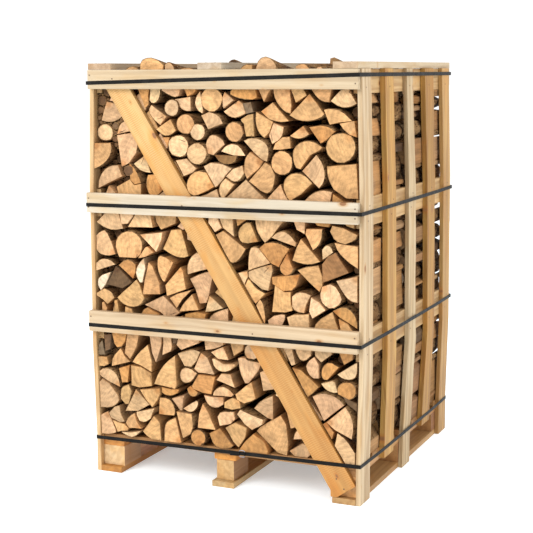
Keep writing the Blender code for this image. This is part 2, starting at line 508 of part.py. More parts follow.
def add_side(side, sign, materials):
    """The five upright posts of one side and the three rails that they are nailed to."""
    inner = CRATE_WIDTH / 2 - THIN_POST
    for number, thick, foot, front_edge, back_edge in SIDE_POSTS:
        bm = bmesh.new()
        sections = []
        for height in (foot, DECK_TOP, BOW_LOW, BOW_HIGH, POST_TOP):
            near = sign * (inner + bow_at(height))
            far = near + sign * thick
            front = from_front(edge_at(front_edge, foot, height))
            back = from_front(edge_at(back_edge, foot, height))
            loop = [(near, front, height), (far, front, height), (far, back, height), (near, back, height)]
            sections.append([bm.verts.new(corner) for corner in loop])
        for section, following in zip(sections, sections[1:]):
            join_sections(bm, section, following)
        bm.faces.new(sections[0])
        bm.faces.new(sections[-1])
        add_object(f"side_post_{side}_{number}", bm, materials["post_pine"])
    for level, heights in SIDE_RAIL_HEIGHTS.items():
        outer = inner - GAP + rail_bow(heights)
        span = sorted((sign * outer, sign * (outer - SIDE_RAIL_THICK)))
        depth = (from_front(BRACE_THICK + 3 * GAP), -from_front(BRACE_THICK + 3 * GAP))
        add_board(f"side_rail_{side}_{level}", span, depth, heights, materials["post_pine"])


def rail_span(level):
    """Where a rail across the front or the back starts and ends, near the outsides of its posts."""
    start = RAIL_START_INSET[level] - CRATE_WIDTH / 2 - rail_bow(RAIL_HEIGHTS[level])
    return start, CRATE_WIDTH / 2 - RAIL_END_INSET


def add_face(face, sign, materials):
    """The three rails across the front or the back, and the diagonal brace behind them."""
    near = CRATE_DEPTH / 2 + GAP
    for level, heights in RAIL_HEIGHTS.items():
        depth = sorted((sign * near, sign * (near + RAIL_THICK)))
        span = rail_span(level)
        add_board(f"{face}_rail_{level}", span, depth, heights, materials["rail_pine"])
    bm = bmesh.new()
    outer = CRATE_DEPTH / 2 - GAP
    outline = [(-sign * from_left(x), z) for x, z in BRACE_OUTLINE]
    extrude_outline(bm, outline, sign * outer, sign * (outer - BRACE_THICK))
    add_object(f"{face}_brace", bm, materials["brace_pine"])


def add_caps(material):
    """The three boards laid over the top, front to back."""
    reach = CRATE_DEPTH / 2 + GAP + RAIL_THICK
    for side, span in CAP_SPANS.items():
        heights = (CAP_BOTTOM, CAP_BOTTOM + CAP_THICK)
        add_board(f"cap_board_{side}", span, (-reach, reach), heights, material)


# Straps


def strap_route(level, heights):
    """The corners that a strap is pulled round, anticlockwise from the front left."""
    near = CRATE_DEPTH / 2 + (GAP + RAIL_THICK if level != "bottom" else 0.0)
    proud = THICK_POST - THIN_POST
    sides = (from_front(SIDE_POSTS[1][3][2]), from_front(SIDE_POSTS[3][4][1]))
    edges = [height + shift for height in heights for shift in (-STRAP_WIDTH / 2, 0.0, STRAP_WIDTH / 2)]
    half = CRATE_WIDTH / 2 + max(bow_at(height) for height in edges)
    right = [(half, -near), (half + proud, sides[0]), (half + proud, sides[1]), (half, near)]
    left = [(-x, y) for x, y in reversed(right)]
    return [left[3], *right, *left[:3]]


def strap_height(heights, point, near):
    """The strap's middle at a point of its route, level along each side."""
    front_left, front_right, back_right, back_left = heights
    across = (point[0] + CRATE_WIDTH / 2) / CRATE_WIDTH
    along = (point[1] + near) / (2 * near)
    front = front_left + (front_right - front_left) * across
    back = back_left + (back_right - back_left) * across
    return front + (back - front) * along


def pushed_out(route, distance):
    """A convex route moved outwards by a distance, corner by corner."""
    moved = []
    for index, point in enumerate(route):
        before = route[index - 1]
        after = route[(index + 1) % len(route)]
        normals = []
        for start, end in ((before, point), (point, after)):
            length = math.dist(start, end)
            normals.append(((end[1] - start[1]) / length, (start[0] - end[0]) / length))
        (ax, ay), (bx, by) = normals
        scale = distance / (1 + ax * bx + ay * by)
        moved.append((point[0] + (ax + bx) * scale, point[1] + (ay + by) * scale))
    return moved


def add_strap(level, heights, material):
    """One flat strap as a closed band round the crate."""
    route = strap_route(level, heights)
    near = max(y for _, y in route)
    inner = pushed_out(route, GAP)
    outer = pushed_out(route, GAP + STRAP_THICK)
    bm = bmesh.new()
    sections = []
    for inside, outside in zip(inner, outer):
        middle = strap_height(heights, inside, near)
        low, high = middle - STRAP_WIDTH / 2, middle + STRAP_WIDTH / 2
        loop = [(*inside, low), (*outside, low), (*outside, high), (*inside, high)]
        sections.append([bm.verts.new(corner) for corner in loop])
    for index, section in enumerate(sections):
        join_sections(bm, section, sections[(index + 1) % len(sections)])
    add_object(f"strap_{level}", bm, material)


def add_buckle(material):
    """The wire buckle on the bottom strap: a frame with a bar across its middle."""
    x = from_left(BUCKLE_FROM_LEFT)
    front_left, front_right = STRAP_HEIGHTS["bottom"][:2]
    z = front_left + (front_right - front_left) * BUCKLE_FROM_LEFT / CRATE_WIDTH
    y = from_front(0) - 2 * GAP - STRAP_THICK
    depth = (y - BUCKLE_WIRE, y)
    half_width, half_height = BUCKLE_WIDTH / 2, BUCKLE_HEIGHT / 2
    frame = add_board("strap_buckle", (x - half_width, x + half_width), depth, (z - half_height, z + half_height),
                      material)
    openings = (
        (x - half_width + BUCKLE_WIRE, x - BUCKLE_WIRE / 2),
        (x + BUCKLE_WIRE / 2, x + half_width - BUCKLE_WIRE),
    )
    for number, span in enumerate(openings):
        heights = (z - half_height + BUCKLE_WIRE, z + half_height - BUCKLE_WIRE)
        through = (depth[0] - BUCKLE_WIRE, depth[1] + BUCKLE_WIRE)
        cutter = add_board(f"buckle_cutter_{number}", span, through, heights, material)
        cutter.hide_render = True
        cutter.display_type = "WIRE"
        cut = frame.modifiers.new(f"opening_{number}", "BOOLEAN")
        cut.operation = "DIFFERENCE"
        cut.object = cutter


# Logs


def read_outlines(text):
    """Read a tier's outlines into lists of (x, z) corners in metres from the lower left corner."""
    outlines = []
    for line in text.split("\n"):
        words = line.split()
        if not words:
            continue
        if "," in words[-1]:
            corners = [tuple(float(number) / 100 for number in word.split(",")) for word in words]
        else:
            x, z = (float(number) / 100 for number in words[0].split(","))
            radius = float(words[1]) / 100
            turns = [math.tau * step / 8 for step in range(8)]
            corners = [(x + radius * math.cos(turn), z + radius * math.sin(turn)) for turn in turns]
        outlines.append(corners if signed_area(corners) > 0 else corners[::-1])
    return outlines


def signed_area(outline):
    """The outline's area, above zero where it runs anticlockwise."""
    total = 0.0
    for index, (x, z) in enumerate(outline):
        next_x, next_z = outline[(index + 1) % len(outline)]
        total += x * next_z - next_x * z
    return total / 2


def cut_outline(outline, normal, limit):
    """Keep the part of an outline where its distance along the normal is under the limit."""
    kept = []
    for index, point in enumerate(outline):
        after = outline[(index + 1) % len(outline)]
        here = point[0] * normal[0] + point[1] * normal[1] - limit
        there = after[0] * normal[0] + after[1] * normal[1] - limit
        if here <= 0:
            kept.append(point)
        if here * there < 0:
            share = here / (here - there)
            kept.append((point[0] + (after[0] - point[0]) * share, point[1] + (after[1] - point[1]) * share))
    return kept


def outward_normals(outline):
    """Unit normals of an anticlockwise outline's edges."""
    normals = []
    for index, (x, z) in enumerate(outline):
        next_x, next_z = outline[(index + 1) % len(outline)]
        length = math.hypot(next_x - x, next_z - z)
        if length > 1e-6:
            normals.append(((next_z - z) / length, (x - next_x) / length))
    return normals


def furthest(outline, normal):
    """How far an outline reaches along a normal."""
    return max(x * normal[0] + z * normal[1] for x, z in outline)


def least_overlap(first, second):
    """The direction from first to second in which they overlap least, the overlap and its middle."""
    best = None
    candidates = outward_normals(first) + [(-x, -z) for x, z in outward_normals(second)]
    for normal in candidates:
        reach = furthest(first, normal)
        start = -furthest(second, (-normal[0], -normal[1]))
        if best is None or reach - start < best[1]:
            best = (normal, reach - start, (reach + start) / 2)
    return best


def spans(outline):
    """Lowest and highest x and z of an outline."""
    xs = [x for x, _ in outline]
    zs = [z for _, z in outline]
    return min(xs), max(xs), min(zs), max(zs)


def are_near(first, second):
    """Whether two outlines' boxes come within a log gap of each other."""
    a, b = spans(first), spans(second)
    across = a[0] < b[1] + LOG_GAP and b[0] < a[1] + LOG_GAP
    return across and a[2] < b[3] + LOG_GAP and b[2] < a[3] + LOG_GAP


def part_neighbours(outlines):
    """Trim logs that press into each other, each by half, so that a narrow gap is left."""
    parted = [list(outline) for outline in outlines]
    for index, _ in enumerate(parted):
        for other in range(index + 1, len(parted)):
            first, second = parted[index], parted[other]
            if not are_near(first, second):
                continue
            normal, overlap, middle = least_overlap(first, second)
            if -LOG_GAP < overlap < LOG_MOST_OVERLAP:
                parted[index] = cut_outline(first, normal, middle - LOG_GAP / 2)
                away = (-normal[0], -normal[1])
                parted[other] = cut_outline(second, away, -middle - LOG_GAP / 2)
    return parted


def side_and_cap_boards():
    """Sections of the boards inside the crate's sides and of the caps, which the logs stay clear of."""
    sections = []
    thick = THIN_POST + SIDE_RAIL_THICK + GAP + SIDE_MARGIN
    for low, high in SIDE_RAIL_HEIGHTS.values():
        inner = thick - rail_bow((low, high))
        sections.append((-BOW, inner, low - SIDE_MARGIN, high + SIDE_MARGIN))
        sections.append((CRATE_WIDTH - inner, CRATE_WIDTH + BOW, low - SIDE_MARGIN, high + SIDE_MARGIN))
    for low, high in CAP_SPANS.values():
        left, right = low + CRATE_WIDTH / 2 - SIDE_MARGIN, high + CRATE_WIDTH / 2 + SIDE_MARGIN
        sections.append((left, right, CAP_BOTTOM - SIDE_MARGIN, CAP_BOTTOM + CAP_THICK + 0.06))
    return sections


def clear_of_boards(outline):
    """Cut an outline back from the posts, the deck and the boards that run beside the logs."""
    edge = THIN_POST + SIDE_MARGIN
    rise, fall = BOW_LOW - DECK_TOP, POST_TOP - BOW_HIGH
    outline = cut_outline(outline, (0, -1), -(DECK_TOP + 2 * GAP))
    for sign, side in ((-1, edge), (1, CRATE_WIDTH - edge)):
        outline = cut_outline(outline, (sign, 0), sign * side + BOW)
        outline = cut_outline(outline, (sign * rise, -BOW), sign * rise * side - BOW * DECK_TOP)
        outline = cut_outline(outline, (sign * fall, BOW), sign * fall * side + BOW * POST_TOP)
    for left, right, low, high in side_and_cap_boards():
        if len(outline) < 3:
            break
        box = [(left, low), (right, low), (right, high), (left, high)]
        normal, overlap, _ = least_overlap(outline, box)
        if overlap > 0:
            outline = cut_outline(outline, normal, furthest(outline, normal) - overlap)
    return outline


def with_corners(outline, count):
    """Drop the flattest corners of an outline until it has no more than count."""
    kept = list(outline)
    while len(kept) > count:
        areas = []
        for index, (x, z) in enumerate(kept):
            (ax, az), (bx, bz) = kept[index - 1], kept[(index + 1) % len(kept)]
            areas.append(abs((ax - x) * (bz - z) - (bx - x) * (az - z)))
        del kept[areas.index(min(areas))]
    return kept


def top_course(row):
    """The uneven course above the third tier, lower in the rows behind."""
    share = TOP_COURSE_SHARE[row]
    course = []
    for outline in read_outlines(TOP_COURSE):
        course.append([(x, TOP_COURSE_BASE + (z - TOP_COURSE_BASE) * share) for x, z in outline])
    return course


def row_outlines(row):
    """All the log ends of one row, parted from each other and clear of the boards."""
    outlines = []
    for slot, tier in zip(TIER_SLOTS, ROW_TIERS[row]):
        text, base = TIERS[tier]
        for outline in read_outlines(text):
            outlines.append([(x, z + slot - base) for x, z in outline])
    outlines += top_course(row)
    if row in MIRRORED_ROWS:
        outlines = [[(CRATE_WIDTH - x, z) for x, z in outline[::-1]] for outline in outlines]
    if row in RAISED_LOGS:
        raised = list(RAISED_LOGS[row])
        raised = raised if signed_area(raised) > 0 else raised[::-1]
        left, right, _, _ = spans(raised)
        outlines = [o for o in outlines if spans(o)[2] < TOP_COURSE_BASE - 0.01
                    or spans(o)[1] < left or spans(o)[0] > right]
        outlines.append(raised)
    outlines = [clear_of_boards(outline) for outline in outlines]
    outlines = [outline for outline in outlines if len(outline) > 2]
    parted = part_neighbours(outlines)
    return [outline for outline in parted if len(outline) > 2 and signed_area(outline) > LEAST_AREA]


def is_behind_brace(outline):
    """Whether the front brace passes over a log end, which then stands further in."""
    (top_x, top_z), (foot_x, foot_z) = BRACE_OUTLINE[0], BRACE_OUTLINE[1]
    (upper_x, upper_z), (lower_x, lower_z) = BRACE_OUTLINE[5], BRACE_OUTLINE[4]
    left_most, right_most = [], []
    for x, z in outline:
        left_most.append(x - (top_x + (top_z - z) * (foot_x - top_x) / (top_z - foot_z)))
        right_most.append(x - (upper_x + (upper_z - z) * (lower_x - upper_x) / (upper_z - lower_z)))
    return max(left_most) > 0 and min(right_most) < 0


def reaches_past_core(outline):
    """Whether a log shows at the row's side or top, where it runs the row's whole length."""
    left, right, _, high = spans(outline)
    return left < CORE_SIDE or right > CRATE_WIDTH - CORE_SIDE or high > CORE_TOP


def meets_core(outline, margin=0.004):
    """Whether a log grows out of the row's core."""
    left, right, low, _ = spans(outline)
    return right > CORE_SIDE + margin and left < CRATE_WIDTH - CORE_SIDE - margin and low < CORE_TOP - margin


def add_row(row, start, material):
    """One row of logs as a single solid: its core, with the log ends and the outermost logs standing out."""
    end = start + LOG_LENGTH
    shows_ends = {"front": (True, False), "back": (False, True)}.get(row, (False, False))
    core_start = start + END_RELIEF if shows_ends[0] else start
    core_end = end - END_RELIEF if shows_ends[1] else end
    bm = bmesh.new()
    for outline in row_outlines(row):
        if not meets_core(outline):
            continue
        area = signed_area(outline)
        outline = with_corners(outline, next(count for least, count in CORNERS if area > least))
        tip = start + BEHIND_BRACE if is_behind_brace(outline) else start
        if reaches_past_core(outline):
            first = tip if shows_ends[0] else start + EDGE_LOG_INSET
            last = end if shows_ends[1] else end - EDGE_LOG_INSET
        elif shows_ends[0]:
            first, last = tip, core_start + CORE_OVERLAP
        elif shows_ends[1]:
            first, last = core_end - CORE_OVERLAP, end
        else:
            continue
        extrude_outline(bm, [(from_left(x), z) for x, z in outline], from_front(first), from_front(last))
    logs = add_object(f"log_ends_{row}", bm, material)
    logs.hide_render = True
    logs.display_type = "WIRE"
    side = CRATE_WIDTH / 2 - CORE_SIDE
    depth = (from_front(core_start), from_front(core_end))
    core = add_board(f"log_row_{row}", (-side, side), depth, (DECK_TOP + GAP, CORE_TOP), material)
    join = core.modifiers.new("logs", "BOOLEAN")
    join.operation = "UNION"
    join.solver = "EXACT"
    join.use_self = True
    join.object = logs


def main():
    clear_scene()
    materials = make_materials()
    add_pallet(materials["pallet_pine"])
    add_side("left", -1, materials)
    add_side("right", 1, materials)
    add_face("front", -1, materials)
    add_face("back", 1, materials)
    add_caps(materials["rail_pine"])
    for level, heights in STRAP_HEIGHTS.items():
        add_strap(level, heights, materials["black_strap"])
    add_buckle(materials["buckle_wire"])
    for row, start in zip(ROW_NAMES, ROW_STARTS):
        add_row(row, start, materials["ash_logs"])


main()
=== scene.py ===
"""Looks for a crate of ash firewood: split logs in four rows inside a nailed softwood crate on a pallet."""
import itertools
import math
import random

import bmesh
import bpy
from mathutils import Matrix, Vector, noise


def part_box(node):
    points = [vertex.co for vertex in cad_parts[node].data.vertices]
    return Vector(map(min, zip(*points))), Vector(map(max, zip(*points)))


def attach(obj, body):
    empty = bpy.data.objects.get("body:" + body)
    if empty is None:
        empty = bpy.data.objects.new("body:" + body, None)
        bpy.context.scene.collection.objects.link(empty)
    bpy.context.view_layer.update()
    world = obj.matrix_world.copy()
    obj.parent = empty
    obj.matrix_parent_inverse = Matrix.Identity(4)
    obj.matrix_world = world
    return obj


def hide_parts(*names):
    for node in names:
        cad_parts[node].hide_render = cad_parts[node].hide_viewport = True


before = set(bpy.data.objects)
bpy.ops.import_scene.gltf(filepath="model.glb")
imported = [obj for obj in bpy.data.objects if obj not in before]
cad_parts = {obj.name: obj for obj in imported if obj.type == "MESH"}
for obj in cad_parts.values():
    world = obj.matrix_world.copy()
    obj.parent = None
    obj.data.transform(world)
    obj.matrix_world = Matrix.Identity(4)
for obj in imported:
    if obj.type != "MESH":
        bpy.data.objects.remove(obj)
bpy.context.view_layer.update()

# The crate's outer size over the posts, in metres, as the solids have it
CRATE_WIDTH = 1.10
CRATE_DEPTH = 1.105
POST_THICK = 0.017
THICK_POST = 0.021
DECK_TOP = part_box("pallet_deck_board_1")[1][2]
POST_TOP = 1.5725
BOW = 0.011
BOW_LOW = 0.500
BOW_HIGH = 1.120
BRACE_WIDTH = 0.10

# The photograph's camera: lens and shift on the sensor, place and reach in metres, angles in degrees
SENSOR = 36.0
LENS = 85.64
SHIFT_Y = -0.1004
CAMERA_PLACE = (2.0427, -4.7358, 1.56585)
CAMERA_REACH = 100.0
CAMERA_YAW = 23.93
CAMERA_PITCH = 6.4
CAMERA_ROLL = -0.30

# The logs: rows from the front, length, and how the sawn ends and split faces vary
ROWS = ("front", "second", "third", "back")
ROW_STARTS = (0.004, 0.274, 0.544, 0.814)
LOG_LENGTH = 0.260
LOG_GAP = 0.0012
LOG_MOST_OVERLAP = 0.012
BEHIND_BRACE = 0.0235
BRACE_HALF_BAND = 0.075
BRACE_END_DEPTHS = (0.0, 0.004)
END_DEPTHS = (0.000, 0.008)
BACK_END_DEPTHS = (0.002, 0.012)
LEAST_DEPTH = 0.003
END_EDGE = 0.0016
BARK_EDGE = 0.0030
FRONT_ROW_SWELL = 0.0040
SWELL_TOP = 1.5
SPLIT_WAVINESS = 0.0016
BARK_RELIEF = 0.0028
BOARD_MARGIN = 0.0010
CAP_CLEARANCE = 0.06
ROUND_SIDES = 14
ROUND_UNEVENNESS = 0.10
TOP_COURSE_BASE = 1.515
# The relief's changes across and along the grain, per metre, the share of it that lies inwards, and the
# distance from a log's middle at which it starts to shrink
RELIEF_ACROSS = 55
RELIEF_ALONG = 9
RELIEF_INWARDS = 0.4
LEAST_REACH = 0.004
# Shares of a log's length at its rings, from the back end; the ring behind the front end's edge has none
RING_SHARES = (1.0, 0.68, 0.34, None, 0.0)
# How far a sawn end leans, on rows' backs and on front ends that lie no deeper than this
END_LEAN = 0.03
LEANING_DEPTH = 0.03
LOG_DRIFT = 0.002
# Bark corners are rounded by this share of their edges; split edges longer than this stray in the middle
BARK_ROUNDING = 0.27
LONG_SPLIT_EDGE = 0.028
SPLIT_EDGE_STRAY = 0.030
# How far the pith lies towards the corner across from the bark, and how many logs are cracked
PITH_REACH = 0.85
CRACKED_SHARE = 0.35
HEART_STRENGTHS = (0.0, 0.25, 0.5, 0.8)

# Thin sticks pushed into the gaps beside the posts: the strip they lie in, their radii, sides and tints
STICK_STRIP = 0.090
TWIG_STRIP = 0.150
STICK_STEP = 0.006
LEAST_STICK = 0.0115
LEAST_TWIG = 0.0026
MOST_STICK = 0.026
STICK_SETBACK = 0.045
STICK_MARGIN = 0.0004
STICK_SIDES = 7
STICK_TINTS = "btpoct"

# Outlines of the log ends in centimetres from the crate's lower left corner, after the wood's tint:
# "x,z" corners, with ~ where the bark rounds them, or a centre and a radius for a round log
BOTTOM_TIER = """
g 1,51 3,53.6 4.3,46.4 0.8,46.2
b 4.6,48 4.2,54.6 7,55 6.6,49
o 7.4,54.8 8.2,51.2 9.3,49.9 11.3,50.4 13,52.6 13.9,56 13.9,60 7.5,60
t 0.8,45.7 5.2,45.7 5.8,43 4,42 0.9,41.9
t 13.4,52.2 14.4,60 20.4,60 18.3,51 15.2,45.7 12.9,47.5~
t 7,42.3 7.3,46~ 11,49.9 12.6,46.8 15,44.7
o 9.9,41.7 14.7,43.3 13.7,36.4 11.2,36.1
t 16.2,44.8 18.8,48.7~ 23.2,52.2 24.8,46 24.6,41.6 20,43.7
t 15.4,43.4 19.8,43.1 24.2,41 24.5,36 19,34.9 15.6,35.5
p 22.6,60 28.9,60 28.8,52 26.5,45.5 24.8,49
p 29.3,60 32.7,60 33.4,52 32.8,50.3 29.2,48.5 29.6,53
b 33.8,60 36.3,60 36.2,54 34.2,53.4
t 25.6,37 27.6,42~ 30.8,46~ 34.8,48.9 35.5,37.4 34.6,35.6
p 0.8,39 3.2,41.3~ 7,41.2~ 9.8,38~ 10.3,34.2 6,35.7 2.8,37.4
p 1.2,35 3,36.9 5.8,35.4 9.5,31 10,29 9.3,27.4~ 6,25.4~ 1.3,25.4
p 5.3,23.4 7.8,26.2 9.9,26.8 10.4,24 12.2,20.6 10,20.2 6,21.6
t 10.3,32~ 11,34.6~ 14.2,35.7 15.4,33 14,27.8 12.5,27.6 10.4,29.5
p 12.2,24.9 17.2,34.2 19.2,32.2 23.3,28.5 18,25.4
t 19.5,34.2 28,35.4 28.3,33.5 27.2,31 24.8,27.8 22,30.6
o 28.6,36 33,35.5 36.5,36 35.5,34.2 33,32.8~ 30.2,32.9~ 28.7,34
t 27.6,31.8 31,32.1~ 33.5,30.5~ 34.7,27~ 34,25.3 27.3,25.2
p 33.2,32 38.6,33.8 37.6,27.8 36.8,27.8
c 17.3,25 25.3,27.2 23.5,22.8 21,20.9~ 18.5,21.5~ 17.4,23.3~
p 0.9,21.9 5,24.1 8,17.5 8.2,15.8 4.5,14.7 0.9,14.7
t 6.8,20.8 12.2,19.7 14,18.2 13.5,17.2 10.8,16.8 9,16.2
c 10.7,16.4 15,16.7 19.5,17.7 17.5,15.6~ 15.3,14.7~ 12.8,15.2~
t 12.8,20.4 14,23~ 16.8,24.7 17.5,22 18.5,20.2 19.8,18.7 14.3,18.4
t 20.2,17.6 25.2,24.3 27.8,22 28.4,14.7 24.8,14.6 22,16
t 29.8,14.7 29.8,21~ 31.5,23.4~ 34.7,24.7 37.1,15.2 36.5,14.7
p 35,53.5 36.8,60 46,60 45,54.5 37.5,51.3
p 35.8,49.8 42.5,52.2~ 45.4,51.2 43.8,47.5 41.5,45 38.6,45.1
p 36.3,42~ 37.8,44.5~ 41,44.7~ 44,42.8 42,39.5~ 39.5,38.3~ 37,39~
p 42.7,44.4 45.8,50.9 48.5,49.2 51.3,43.2 51,42.9 44.4,43.1
o 42,38.2~ 44.8,42.5 51.9,42.3 50.3,35.4 46.8,35.6 42.3,36.9~
o 39.8,36.5 41.3,37.8 44.5,35.5 43.8,33.9~ 41.8,33.4~ 40.2,34.6~
p 47.8,52.2 47,60 56,60 55,54.4 51.5,52.9
p 50.2,51.6 55.2,54 56.3,52 57.6,48.8 53.5,48.9~
t 57.4,54.8 57,60 63.8,60 62.5,53 58.8,50.4
c 50.6,49 51.1,49.5 55.5,47.4 60.2,47.8 60,46.8 57.3,44.5~ 53.8,44.3~ 51.2,46~
p 52.2,41 54.2,43.6 58,43.6 59.9,38.7 56,39.9
p 50.8,35 51.2,37~ 54.5,39.3~ 58,38.2~ 59.6,36.4 58.8,35.3
p 60.4,49.7 62.6,50.4 65,49.3~ 70.2,48.9 69,46 64.8,40.5 63.3,40.4 61,44.5~
c 66,52.7 3.1
t 60.1,36.3 64.5,40 66.8,41.6 68.6,35.5 67,34.2~ 63.8,33.2~ 61,34.1~
t 55.4,30.7 55.5,32.8 59,35~ 61.8,34~ 62.3,31.2 58.5,30.2
p 46.9,34.7 50.5,34.3 55,34.6 55,31.8 52.5,30~ 49.6,30.4~ 47.8,32~
c 37.9,28.5 42,31.3 44.2,32.6~ 44.6,30.6~ 43,28~ 40.5,27.1~
t 44.3,21.8 45,27.5 46.6,31.4 49,28 51.9,21.8
t 35.4,27.2 41.8,26.9 42.7,22~ 41.2,19 37.9,17
o 44.5,17.95 3.3
o 49.2,20.2 53.6,22.7 56,20 59.1,16.4 57.5,15~ 54,14.7~ 50.9,15.7~
p 52.6,27 54,29.4~ 59.3,29.5 59.9,26.8 58,24.7 53.5,23.5
c 60.7,28.7 62,30.6 66,29.6~ 71.5,27.8 71,25.7 66.8,23.4 63.7,25.3
t 55.8,23 60,25.5 64.8,23.9 64,20 61.2,16 59,18
p 67,31.3 69.6,34.6~ 74.6,36.8 74.7,27.6 72.5,28.1
p 69.5,45.2 73,47 78,40 70.8,38.3
o 61.8,15.3 64,18.6 67.5,22 72,19.5 73.5,16 73.2,14.7 62,14.7
t 67.9,22.5 70,25.2 77.6,30 80,26.5 80.9,20 80.4,14.7 76.5,15.5 72.4,18.7
c 75.7,37 76.6,39.4 80,36 79,35.3
t 79.6,33 82,34 87,29 84.5,26 81.7,25
p 82.9,21.2 83.4,24~ 85.2,25.4~ 89,24 87.5,21.7
p 81.3,16.6 86.5,20 88,19.7 89.7,16 88.3,14.7 83.5,14.7
p 79.8,55.5 79.6,60 82.4,60 84.5,49.9 83,49.3
p 83,60 91.2,60 90.6,53.5 88.3,51.2~ 85.5,52~
o 83,48.5 86.6,48 88,46.8 93.6,42.4 91.2,39.7 89.3,38.3
p 88.4,49~ 89.5,51.8~ 92,53.5 93.8,50.8 93.8,45.6 91,45.2~
p 91.5,60 99,60 98.6,54.8 94.5,51.5 92.2,53.6
o 94.3,47~ 95,50.3~ 98,52.4~ 101.4,50.4 96.8,45.2 95.3,45~
o 99.4,60 106.3,60 106,53.5 103,51.3
c 100.7,47.6 107.6,52.8 107.8,47.6~ 105.5,45.8~ 102.5,46.1~
c 94.5,43.7 98.8,45.1 99.8,44.5 101,41 99,40.5~ 96.2,41.5~
o 104.2,42.1 3.4
p 91.1,38.6 93.5,40~ 97,40.5~ 101.5,38.8~ 103.3,36.5 95.6,29.9
p 96.8,29.7 103.9,36.2 106.2,33.1~ 107.2,28.8~ 106.4,24.4 100,27.2
o 95.1,28.6 96.5,29.4 99.4,26 98.6,23.3
p 99.9,21.3 101,26.2 104.6,24.1~ 107.7,19.5 107.8,14.7 104.2,14.7
t 91,14.7 89,20.7 92.5,26.8 96.5,22 97.4,14.7
t 97.9,14.7 97.2,22 99.4,20.8 103.7,14.7
p 87.3,29.8 83.2,34.4 88.4,37.6 94.6,30 91.6,27.2
p 80.5,36.5 77.4,40.2 80,45.4 86.4,42 88.4,38.4
t 70.9,49.4 69.8,54.6 72,60 78.9,60 80.6,50.4 76,46.6
b 102,40.6 107.8,38.2 107.8,34.6 104.4,36.8
"""
